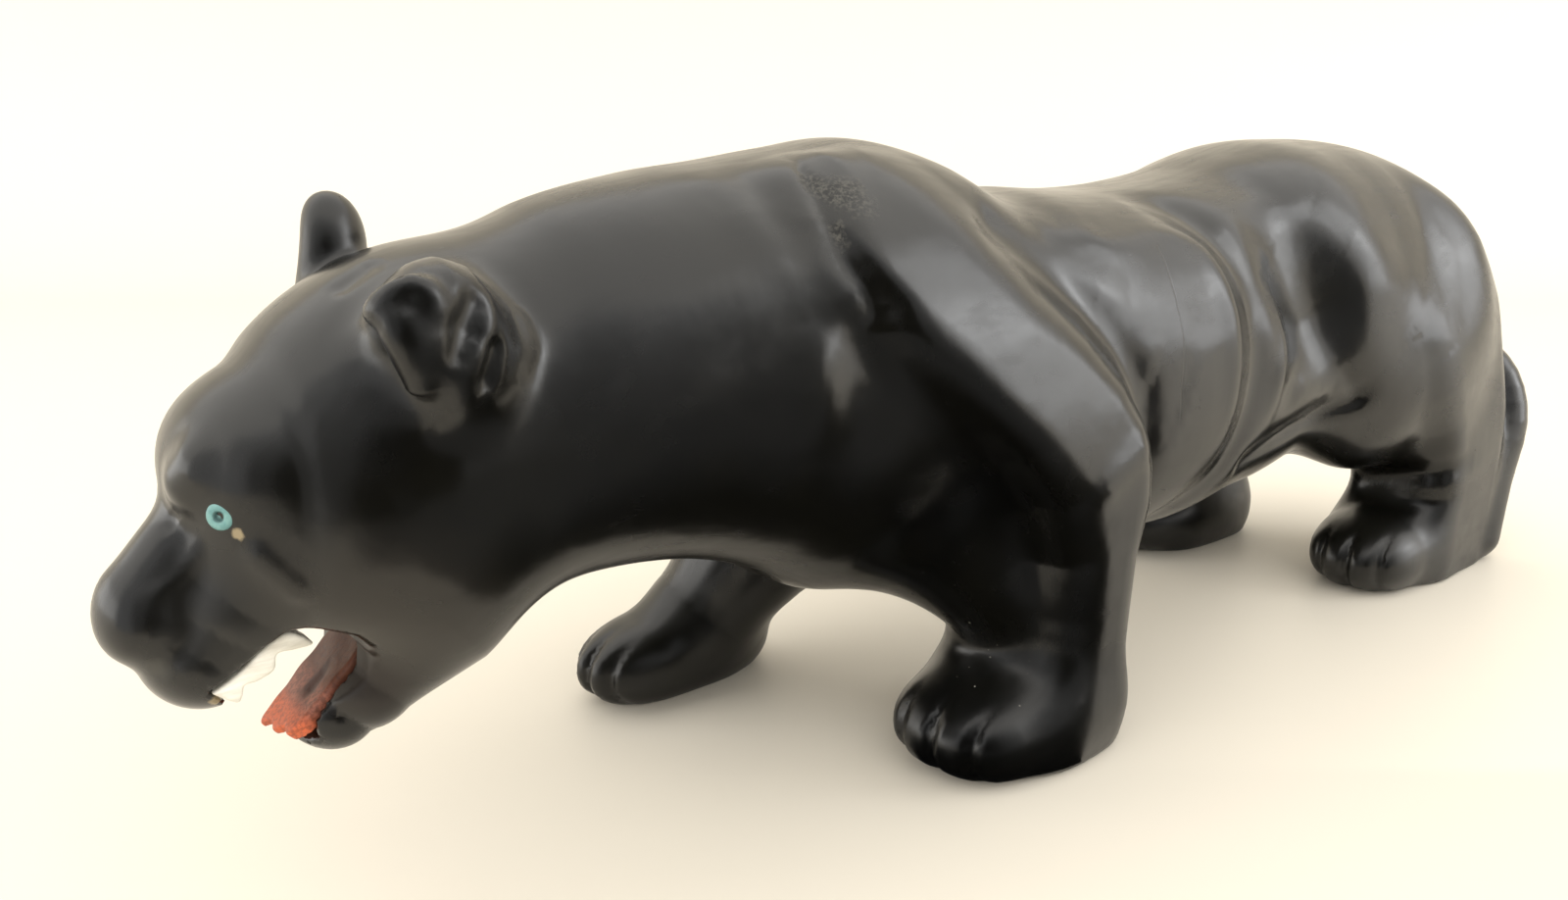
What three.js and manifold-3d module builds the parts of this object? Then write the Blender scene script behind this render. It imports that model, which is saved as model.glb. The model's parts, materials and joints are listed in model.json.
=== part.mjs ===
// A prowling panther carved from one block of black stone, with two bead eyes, two strips of
// upper teeth and a tongue set into it. Units are millimetres, Z is up, the head points along -X
// and the panther's left side faces -Y.
//
// The carving is described as one smooth field: negative inside the stone, positive outside, and
// close to the true distance near the surface. Each muscle, leg and ear is a simple shape, and the
// shapes are blended into each other the way a carver leaves a soft valley between two muscles.
// The surface is then meshed and pulled onto the field, cut flat under the feet, sawn open at the
// mouth, drilled for the eyes, and last thinned out where it is smooth.
import * as THREE from "three";
import Module from "manifold-3d";

// Sizes that drive the part
const CELL = 1.35; // spacing of the grid that the surface is found on
const HEAD_CELL = 0.85; // finer over the head
const BODY_TRIANGLES = 9000; // the thinned-out body
const SHIFT_X = -21.19; // brings the middle of the length over the origin
const SHIFT_Y = -0.6; // and the middle of the width
const SET_GAP = 0.3; // left between the stone and each piece set into it
const EYE_RADIUS = 1.3;
const EYE_HOLE = 0.38;
const EYE_LENGTH = 1.8;
const EYE_PROUD = 0.25; // how far a bead stands out of the stone
const TOOTH_STRIP_WIDTH = 2.6; // across the mouth
const TOOTH_STRIP_FACE = 7.2; // outer face of a strip, from the middle of the head
const TONGUE_HALF_WIDTH = 4.6;
const TONGUE_THICK = 2.4;

// The trunk from the back of the skull to the rump: x, top, underside, half width and squareness
const TRUNK = [
  [-84, 54, 42, 4, 2],
  [-81, 60.5, 36.5, 11, 2.1],
  [-72, 66.8, 31, 17, 2.1],
  [-62, 69.6, 31.6, 18.5, 2.1],
  [-52, 73.8, 33, 19.5, 2.1],
  [-40, 76.2, 32, 20.5, 2.15],
  [-30, 77.2, 29, 21.8, 2.2],
  [-20, 78.4, 23.5, 23, 2.2],
  [-10, 79.3, 21.4, 23.5, 2.2],
  [0, 77.1, 19.9, 24, 2.3],
  [10, 72.6, 20, 24.5, 2.4],
  [20, 72.1, 19.5, 25, 2.4],
  [30, 71.4, 19, 25.5, 2.4],
  [40, 71.3, 18.8, 25.5, 2.4],
  [50, 71.8, 19, 24.5, 2.4],
  [60, 73.0, 20, 23.5, 2.4],
  [70, 75.2, 20.8, 23.5, 2.4],
  [80, 77, 23.2, 24.5, 2.3],
  [90, 77.2, 25.4, 24, 2.2],
  [100, 76.7, 27.2, 22.5, 2.1],
  [110, 74.4, 29, 20, 2.1],
  [118, 69.6, 31.5, 17, 2],
  [125, 62.4, 35.5, 13, 2],
  [130, 55.6, 41, 9, 2],
  [133, 50, 46, 3, 2],
];

// Side outline of the left shoulder blade, upper arm and foreleg, as x, z
const LEFT_ARM = [
  [-25, 77.5],
  [-28, 71.5],
  [-26.5, 64],
  [-20.5, 57],
  [-14, 51],
  [-6, 43],
  [0, 36],
  [3.2, 28],
  [3.8, 20],
  [3, 10],
  [3.5, -6],
  [15, -6],
  [17.4, 0],
  [17.7, 6],
  [17.3, 12],
  [17.3, 27],
  [19, 34],
  [18.6, 40],
  [17, 45.5],
  [13.5, 51],
  [8, 56.5],
  [0.5, 62],
  [-5, 67.5],
  [-10, 73.5],
  [-15, 78.6],
  [-21, 79.5],
];
// The right shoulder and upper arm; its forearm reaches forward and is a shape of its own
const RIGHT_ARM = [
  [-24, 77],
  [-27, 70],
  [-25.5, 64],
  [-22, 56],
  [-17, 48],
  [-13, 40],
  [-8, 34],
  [2, 33],
  [10, 36],
  [14, 43],
  [11, 51],
  [6, 56.5],
  [-1, 62],
  [-6, 67.5],
  [-11, 73],
  [-16, 77.6],
  [-21, 79],
];
// How far the arm stands out from the middle of the body at each height
const ARM_FACE = [
  [-6, 27.5],
  [0, 28.6],
  [8, 30.2],
  [20, 30.9],
  [32, 31.4],
  [44, 31.4],
  [52, 30.4],
  [60, 27.4],
  [67, 22.8],
  [73, 17.2],
  [78, 10.5],
  [84, 1],
];

// Side outline of the left shank, as x, z; the right one is the same, set further forward
const SHANK = [
  [99, 46],
  [101, 36],
  [104.5, 28],
  [106.2, 20],
  [106, 8],
  [106, -6],
  [129, -6],
  [129.6, 6],
  [130.6, 18],
  [130.6, 30],
  [128.8, 42],
  [125.5, 52],
  [118, 61],
  [106, 62],
];
const RIGHT_SHANK_FORWARD = 19;
const SHANK_FACE = [
  [-6, 28.8],
  [0, 29.4],
  [20, 30],
  [30, 29.6],
  [40, 28.2],
  [50, 26],
  [60, 21],
  [66, 16],
];

// Carved creases on the flanks, as lines of x, z: line, half width, depth, sides
const CREASES = [
  [[[-1, 69.5], [7, 63], [14, 57], [20, 50], [23, 43], [23.5, 32], [22.5, 24]], 2.6, 0.9, "L"],
  [[[-3, 69.5], [5, 63], [11, 57], [16.5, 50], [18.5, 43], [17, 34]], 2.2, 1.2, "R"],
  [[[-23, 78], [-25.8, 73], [-26, 68], [-23.5, 62.5]], 2.0, 1.0, "L"],
  [[[-22, 78], [-24.5, 73], [-25, 68], [-23, 62.5]], 1.6, 1.0, "R"],
  [[[-34, 74], [-29.5, 66], [-25.5, 58], [-25, 49]], 3.6, 0.8, "LR"],
  [[[40, 71], [47, 62], [50, 52], [50, 42], [46, 32], [38, 24]], 3.6, 1.3, "LR"],
  [[[64, 71], [69, 60], [72, 50], [76, 41]], 4.5, 0.9, "LR"],
  [[[55, 31], [64, 33.6], [73, 35.6], [81, 37.6]], 1.7, 0.7, "LR"],
];

// Grooves between the toes: place as a share of the paw's half width, half width and depth
const TOE_GROOVES = [
  [-0.52, 0.9, 0.7],
  [0, 0.9, 0.8],
  [0.5, 0.9, 0.7],
];

// The mouth, sawn right through the head: x, z
const MOUTH = [
  [-89, 12],
  [-89.2, 29.6],
  [-91, 32.1],
  [-88.4, 33.6],
  [-86, 35.5],
  [-84, 36.7],
  [-81.9, 36.7],
  [-78.9, 35.7],
  [-77.4, 34.1],
  [-77.5, 31.9],
  [-79.1, 30],
  [-83.7, 25.8],
  [-85, 22],
  [-86.5, 12],
];
// Side outline of a strip of upper teeth, cut like a saw: x, z
const TEETH = [
  [-90.6, 31.6],
  [-88.3, 33.1],
  [-86, 34.9],
  [-83.8, 35.9],
  [-81.7, 34.3],
  [-83.5, 34.1],
  [-85.1, 34.1],
  [-85.3, 32.4],
  [-88.1, 31.9],
  [-88.2, 30.7],
  [-88.7, 30.2],
];
// The tongue lies on the lower jaw: where its upper face starts at the throat and ends at the tip
const TONGUE_ROOT = [-76.9, 31];
const TONGUE_TIP = [-83.3, 23.9];

// Side outline of the left ear: x, z
const EAR = [
  [-77.6, 67],
  [-75.8, 69.2],
  [-73, 70.7],
  [-70.6, 71],
  [-68, 69.9],
  [-66.2, 67.6],
  [-64.8, 64.8],
  [-64.2, 62],
  [-65.4, 59.4],
  [-67.4, 57.3],
  [-70, 56.5],
  [-72, 57],
  [-73.4, 60.2],
  [-75, 63],
  [-77, 65.2],
];

// Where each eye is set, and how far it is turned toward the nose and tilted up, in degrees
const EYE_LEFT = { at: [-88.8, -8.4, 48.8], turn: 46, tilt: 4 };
const EYE_RIGHT = { at: [-88.8, 8.4, 48.8], turn: 46, tilt: 4 };

const RAD = Math.PI / 180;

// Blends: the lesser or greater of two values, rounded over k where they meet
function join(a, b, k) {
  const h = Math.max(k - Math.abs(a - b), 0) / k;
  return Math.min(a, b) - h * h * k * 0.25;
}
function cut(a, b, k) {
  return -join(-a, -b, k);
}

// A smooth curve through the rows of a table, read in one column
function along(table, x, column) {
  const last = table.length - 1;
  if (x <= table[0][0]) return table[0][column];
  if (x >= table[last][0]) return table[last][column];
  let i = 0;
  while (table[i + 1][0] < x) i++;
  const [x0, x1] = [table[i][0], table[i + 1][0]];
  const [y0, y1] = [table[i][column], table[i + 1][column]];
  const h = x1 - x0;
  const t = (x - x0) / h;
  const before = i > 0 ? (y1 - table[i - 1][column]) / (x1 - table[i - 1][0]) : (y1 - y0) / h;
  const after = i < last - 1 ? (table[i + 2][column] - y0) / (table[i + 2][0] - x0) : (y1 - y0) / h;
  const t2 = t * t;
  const t3 = t2 * t;
  return (
    (2 * t3 - 3 * t2 + 1) * y0 +
    (t3 - 2 * t2 + t) * h * before +
    (3 * t2 - 2 * t3) * y1 +
    (t3 - t2) * h * after
  );
}

// Distance from a point to a line of points, in the plane
function toLine(px, py, line) {
  let best = 1e9;
  for (let i = 0; i + 1 < line.length; i++) {
    const [ax, ay] = line[i];
    const bx = line[i + 1][0] - ax;
    const by = line[i + 1][1] - ay;
    let t = ((px - ax) * bx + (py - ay) * by) / (bx * bx + by * by);
    t = Math.min(Math.max(t, 0), 1);
    best = Math.min(best, Math.hypot(px - ax - bx * t, py - ay - by * t));
  }
  return best;
}

// Distance to the edge of an outline, negative inside it
function toOutline(px, py, outline) {
  let inside = false;
  const n = outline.length;
  for (let i = 0, j = n - 1; i < n; j = i++) {
    const [xi, yi] = outline[i];
    const [xj, yj] = outline[j];
    if (yi > py !== yj > py && px < ((xj - xi) * (py - yi)) / (yj - yi) + xi) inside = !inside;
  }
  const d = toLine(px, py, [...outline, outline[0]]);
  return inside ? -d : d;
}

// The trunk: a rounded section at each x, wider or squarer as its table says
const TRUNK_STEP = 0.5;
const TRUNK_FROM = -85;
const TRUNK_ROWS = Array.from({ length: 451 }, (_, i) =>
  [1, 2, 3, 4].map((column) => along(TRUNK, TRUNK_FROM + i * TRUNK_STEP, column)),
);
function trunk(x, y, z) {
  const q = Math.min(Math.max((x - TRUNK_FROM) / TRUNK_STEP, 0), 449.999);
  const i = Math.floor(q);
  const f = q - i;
  const at = (c) => TRUNK_ROWS[i][c] * (1 - f) + TRUNK_ROWS[i + 1][c] * f;
  const [top, under, half, n] = [at(0), at(1), at(2), at(3)];
  const tall = (top - under) / 2;
  const u = Math.abs(y) / half;
  const v = Math.abs(z - (top + under) / 2) / tall;
  const r = Math.pow(Math.pow(u, n) + Math.pow(v, n), 1 / n) + 1e-9;
  const slope = Math.hypot(Math.pow(u / r, n - 1) / half, Math.pow(v / r, n - 1) / tall);
  const d = (r - 1) / slope;
  const past = Math.max(-84 - x, x - 133, 0);
  return past > 0 ? Math.hypot(Math.max(d, 0), past) : d;
}

// An ellipsoid: centre, three radii, and its long axis raised by pitch and turned by yaw, degrees
function ellipsoid([cx, cy, cz], [rx, ry, rz], pitch = 0, yaw = 0) {
  const [cp, sp, cw, sw] = [
    Math.cos(pitch * RAD),
    Math.sin(pitch * RAD),
    Math.cos(yaw * RAD),
    Math.sin(yaw * RAD),
  ];
  return (x, y, z) => {
    const a = (x - cx) * cw + (y - cy) * sw;
    const b = (y - cy) * cw - (x - cx) * sw;
    const c = z - cz;
    const u = (a * cp + c * sp) / rx;
    const v = b / ry;
    const w = (c * cp - a * sp) / rz;
    const k0 = Math.sqrt(u * u + v * v + w * w);
    const k1 = Math.hypot(u / rx, v / ry, w / rz);
    return k1 < 1e-9 ? -Math.min(rx, ry, rz) : (k0 * (k0 - 1)) / k1;
  };
}

// A limb: balls of given radii joined in a row and stretched sideways by wide
function limb(balls, wide = 1) {
  return (x, y, z) => {
    let best = 1e9;
    for (let i = 0; i + 1 < balls.length; i++) {
      const [ax, ay, az, ar] = balls[i];
      const [ex, ey, ez, er] = balls[i + 1];
      const [bx, by, bz] = [ex - ax, (ey - ay) / wide, ez - az];
      const [px, py, pz] = [x - ax, (y - ay) / wide, z - az];
      let t = (px * bx + py * by + pz * bz) / (bx * bx + by * by + bz * bz);
      t = Math.min(Math.max(t, 0), 1);
      best = Math.min(
        best,
        Math.hypot(px - bx * t, py - by * t, pz - bz * t) - (ar + (er - ar) * t),
      );
    }
    return best * Math.min(1, wide);
  };
}

// A flat-faced limb: a side outline between an inner plane and an outer face
function plate(outline, side, inner, shrink, k, faces = ARM_FACE) {
  return (x, y, z) => {
    const out = y * side;
    const edge = toOutline(x, z, outline);
    if (edge > 12) return edge;
    const face = (out - (along(faces, z, 1) - shrink)) * 0.9;
    return cut(cut(edge, face, k), inner - out, k);
  };
}

// A paw: a rounded block with its toes toward -X, turned by yaw degrees
function paw([cx, cy], long, half, high, yaw) {
  const [cw, sw] = [Math.cos(yaw * RAD), Math.sin(yaw * RAD)];
  return (x, y, z) => {
    const a = (x - cx) * cw + (y - cy) * sw;
    const b = (y - cy) * cw - (x - cx) * sw;
    const toe = -a / long;
    const u = Math.abs(toe);
    const v = Math.abs(b) / (half * (1 + 0.06 * toe));
    const t = Math.abs(z - 0.42 * high) / (high * (1 - 0.1 * Math.min(toe, 1)) * 0.58);
    const r = Math.pow(Math.pow(u, 2.6) + Math.pow(v, 2.6) + Math.pow(t, 2.2), 1 / 2.6);
    let d = (r - 1) * Math.min(long, half, high * 0.9) * 0.95;
    if (toe > 0.4 && d < 4)
      for (const [place, wide, deep] of TOE_GROOVES) {
        const q = (b - place * half) / wide;
        const fade = Math.min(1, (toe - 0.4) / 0.35);
        d += deep * fade * Math.exp(-q * q);
      }
    return d;
  };
}

// Head
const cranium = ellipsoid([-72.8, 0, 54], [19.5, 15.2, 11.5], 35);
const brow = ellipsoid([-84.1, 0, 52.1], [6.8, 11, 6.2], 40);
const cheeks = ellipsoid([-74, 0, 43.2], [12, 15.2, 13], 40);
const bridge = limb([[-85.8, 0, 48.2, 4.3], [-93.4, 0, 39.8, 4.4]], 1.12);
const nose = ellipsoid([-94.1, 0, 38], [4.5, 5.4, 4.1], 55);
const upperLip = limb([[-81, 0, 44, 8.4], [-86.5, 0, 38.2, 6.8], [-89.9, 0, 34, 5.7]], 1.3);
const lowerJaw = limb([[-69.2, 0, 33.5, 8.2], [-75.6, 0, 27.8, 6.2], [-78.5, 0, 25, 4.8]], 1.45);
const leftEarBall = ellipsoid([-70.4, -16.2, 64.4], [8.2, 5.3, 7.8], 0, 22);
const leftEar = (x, y, z) => cut(leftEarBall(x, y, z), toOutline(x, z, EAR), 3);
const leftEarHollow = ellipsoid([-70.6, -21.8, 64.2], [2.7, 3.4, 4.9], -20, 15);
const leftEarFold = limb([
  [-77, -17, 66.4, 1],
  [-74.6, -19, 68.4, 1.3],
  [-73.2, -20.2, 66.8, 1.3],
  [-74, -19.4, 61.4, 0.9],
]);
const rightEar = ellipsoid([-69.9, 13.8, 67.8], [4.4, 4.8, 7], -12, -20);
const rightEarHollow = ellipsoid([-73.6, 15.8, 68.6], [3, 3.4, 4.6], -12, -30);
// Forequarters
const leftBreast = limb([[-5, -12, 32, 9], [7, -17, 19, 7.8]]);
const leftArm = plate(LEFT_ARM, -1, 8.5, 0, 3.2);
const rightArm = plate(RIGHT_ARM, 1, 10, 0.4, 4);
const rightForearm = limb([[-1, 20, 37, 12], [-5, 20.6, 22, 10.8], [-14.5, 24, 10.5, 7.8]]);
const leftForepaw = paw([3.6, -19], 15.7, 10.8, 12.5, 6);
const rightForepaw = paw([-18.8, 25.2], 16.4, 7.4, 12, 3);
// Hindquarters
const haunchBall = ellipsoid([101.6, -15.4, 46.2], [25.6, 15, 26.4], -62);
// leaning in above the knee: the ball is read further out the higher the point is
function leftHaunch(x, y, z) {
  const rear = Math.min(Math.max((116 - x) / 14, 0), 1);
  const front = Math.min(Math.max((x - 78) / 14, 0), 1);
  const high = Math.min(Math.max(z - 36, 0), 24);
  return haunchBall(x, y - 0.2 * rear * front * high, z);
}
const rightHaunch = ellipsoid([97.6, 15.2, 46.2], [25.6, 14.6, 26], -60);
const leftShank = plate(SHANK, -1, 10.5, 0, 6, SHANK_FACE);
const shiftedShank = SHANK.map(([x, z]) => [x - RIGHT_SHANK_FORWARD, z]);
const rightShank = plate(shiftedShank, 1, 9.5, 0.6, 7, SHANK_FACE);
const leftHindpaw = paw([107.8, -19.1], 18.2, 9.6, 13, 7);
const rightHindpaw = paw([94.5, 18], 18.4, 10.5, 12.5, -6);
const tail = limb([
  [127, -5, 51, 5.5],
  [133, -11, 42.5, 5],
  [136.3, -17.2, 37.2, 4.7],
  [136.7, -22.6, 32.3, 4.6],
  [135.2, -25.3, 25, 4.8],
  [131.9, -26.2, 15, 4.1],
  [129.6, -26.8, 4, 3.7],
]);

// The whole carving
function stone(x, y, z) {
  let d = trunk(x, y, z);
  if (x < -45) {
    let head = join(cranium(x, y, z), cheeks(x, y, z), 6);
    head = join(head, brow(x, y, z), 4);
    head = join(head, upperLip(x, y, z), 3.5);
    head = join(head, join(bridge(x, y, z), nose(x, y, z), 2), 1.6);
    head = join(head, lowerJaw(x, y, z), 4);
    d = join(d, head, 7);
    d = cut(join(d, leftEar(x, y, z), 3), -leftEarHollow(x, y, z), 1.8);
    d = join(d, leftEarFold(x, y, z), 1.4);
    d = cut(join(d, rightEar(x, y, z), 2.2), -rightEarHollow(x, y, z), 1.6);
  }
  if (x > -60 && x < 60 && y < 8) {
    d = join(d, leftBreast(x, y, z), 6);
    d = join(d, leftArm(x, y, z), 3);
    if (z < 30) d = join(d, leftForepaw(x, y, z), 4);
  }
  if (x > -60 && x < 60 && y > -8) {
    d = join(d, rightArm(x, y, z), 3.5);
    d = join(d, rightForearm(x, y, z), 4);
    if (z < 30) d = join(d, rightForepaw(x, y, z), 4);
  }
  if (x > 45 && y < 8) {
    d = join(d, leftHaunch(x, y, z), 7);
    d = join(d, leftShank(x, y, z), 6);
    if (z < 30) d = join(d, leftHindpaw(x, y, z), 4);
  }
  if (x > 45 && y > -8) {
    d = join(d, rightHaunch(x, y, z), 7);
    d = join(d, rightShank(x, y, z), 6);
    if (z < 30) d = join(d, rightHindpaw(x, y, z), 4);
  }
  if (x > 105) d = join(d, tail(x, y, z), 3);
  if (x > -45 && x < 95 && Math.abs(y) > 5) {
    // the creases die away toward the middle of the back and belly
    const s = Math.min((Math.abs(y) - 5) / 8, 1);
    const fade = s * s * (3 - 2 * s);
    for (const [line, wide, deep, sides] of CREASES) {
      if (!sides.includes(y < 0 ? "L" : "R")) continue;
      const q = toLine(x, z, line) / wide;
      if (q < 3) d += deep * fade * Math.exp(-q * q);
    }
  }
  // the stone runs a little below the ground, where the feet are cut flat
  return cut(d, -(z + 0.7), 2.5);
}

// Evenly spaced values from one number to another
function steps(from, to, step) {
  return Array.from({ length: Math.ceil((to - from) / step) }, (_, i) => from + i * step);
}

// The surface where a field is zero, found on a grid of the given x, y and z values
function skin(field, grid) {
  const [nx, ny, nz] = grid.map((values) => values.length);
  const BLOCK = 4;
  const value = new Float32Array(nx * ny * nz).fill(1);
  const place = (i, j, k) => (i * ny + j) * nz + k;
  for (let i = 0; i < nx; i += BLOCK)
    for (let j = 0; j < ny; j += BLOCK)
      for (let k = 0; k < nz; k += BLOCK) {
        const ends = [i, j, k].map((n, c) => [
          grid[c][n],
          grid[c][Math.min(n + BLOCK, grid[c].length) - 1],
        ]);
        const centre = field(...ends.map(([a, b]) => (a + b) / 2));
        const reach = Math.hypot(...ends.map(([a, b]) => (b - a) / 2));
        const far = Math.abs(centre) > reach * 1.5 + 2.5;
        if (far && centre > 0) continue;
        for (let a = i; a < Math.min(nx, i + BLOCK); a++)
          for (let b = j; b < Math.min(ny, j + BLOCK); b++)
            for (let c = k; c < Math.min(nz, k + BLOCK); c++)
              value[place(a, b, c)] = far ? -1 : field(grid[0][a], grid[1][b], grid[2][c]);
      }
  const corner = [0, 1, 2, 3, 4, 5, 6, 7].map((n) => [n & 1, (n >> 1) & 1, n >> 2]);
  const edges = [
    [0, 1], [2, 3], [4, 5], [6, 7], [0, 2], [1, 3],
    [4, 6], [5, 7], [0, 4], [1, 5], [2, 6], [3, 7],
  ];
  const id = new Int32Array(nx * ny * nz).fill(-1);
  const points = [];
  for (let i = 0; i < nx - 1; i++)
    for (let j = 0; j < ny - 1; j++)
      for (let k = 0; k < nz - 1; k++) {
        const v = corner.map(([a, b, c]) => value[place(i + a, j + b, k + c)]);
        const sum = [0, 0, 0];
        let n = 0;
        for (const [p, q] of edges) {
          if (v[p] < 0 === v[q] < 0) continue;
          const t = v[p] / (v[p] - v[q]);
          for (let c = 0; c < 3; c++) sum[c] += corner[p][c] + (corner[q][c] - corner[p][c]) * t;
          n++;
        }
        if (!n) continue;
        id[place(i, j, k)] = points.length;
        points.push(
          [i, j, k].map((m, c) => grid[c][m] + ((grid[c][m + 1] - grid[c][m]) * sum[c]) / n),
        );
      }
  const faces = [];
  const quad = (flip, ...q) => {
    const [a, b, c, d] = q.map(([i, j, k]) => id[place(i, j, k)]);
    if (flip) faces.push([a, c, b], [a, d, c]);
    else faces.push([a, b, c], [a, c, d]);
  };
  for (let i = 1; i < nx - 1; i++)
    for (let j = 1; j < ny - 1; j++)
      for (let k = 1; k < nz - 1; k++) {
        const out = value[place(i, j, k)] >= 0;
        if (out !== value[place(i + 1, j, k)] >= 0)
          quad(out, [i, j - 1, k - 1], [i, j, k - 1], [i, j, k], [i, j - 1, k]);
        if (out !== value[place(i, j + 1, k)] >= 0)
          quad(out, [i - 1, j, k - 1], [i - 1, j, k], [i, j, k], [i, j, k - 1]);
        if (out !== value[place(i, j, k + 1)] >= 0)
          quad(out, [i - 1, j - 1, k], [i, j - 1, k], [i, j, k], [i - 1, j, k]);
      }
  return { points, faces };
}

// Which way the field rises at a point, and how steeply
function rise(field, [x, y, z], e = 0.05) {
  return [
    (field(x + e, y, z) - field(x - e, y, z)) / (2 * e),
    (field(x, y + e, z) - field(x, y - e, z)) / (2 * e),
    (field(x, y, z + e) - field(x, y, z - e)) / (2 * e),
  ];
}

// Even out the points along the surface, then bring each one back onto it
function settle({ points, faces }, field, rounds) {
  const near = points.map(() => new Set());
  for (const [a, b, c] of faces) {
    near[a].add(b).add(c);
    near[b].add(a).add(c);
    near[c].add(a).add(b);
  }
  for (let round = 0; round < rounds; round++) {
    const middles = near.map((set, i) => {
      const m = [0, 0, 0];
      for (const j of set) for (let c = 0; c < 3; c++) m[c] += points[j][c] / set.size;
      return m.map((v, c) => v * 0.6 + points[i][c] * 0.4);
    });
    points.forEach((p, i) => {
      for (let c = 0; c < 3; c++) p[c] = middles[i][c];
      for (let n = 0; n < 3; n++) {
        const v = field(...p);
        if (Math.abs(v) < 0.01) break;
        const g = rise(field, p);
        const g2 = g[0] ** 2 + g[1] ** 2 + g[2] ** 2;
        if (g2 < 1e-4) break;
        const s = Math.max(-0.7, Math.min(0.7, v / Math.max(g2, 0.15)));
        for (let c = 0; c < 3; c++) p[c] -= g[c] * s;
      }
    });
  }
}

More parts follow.
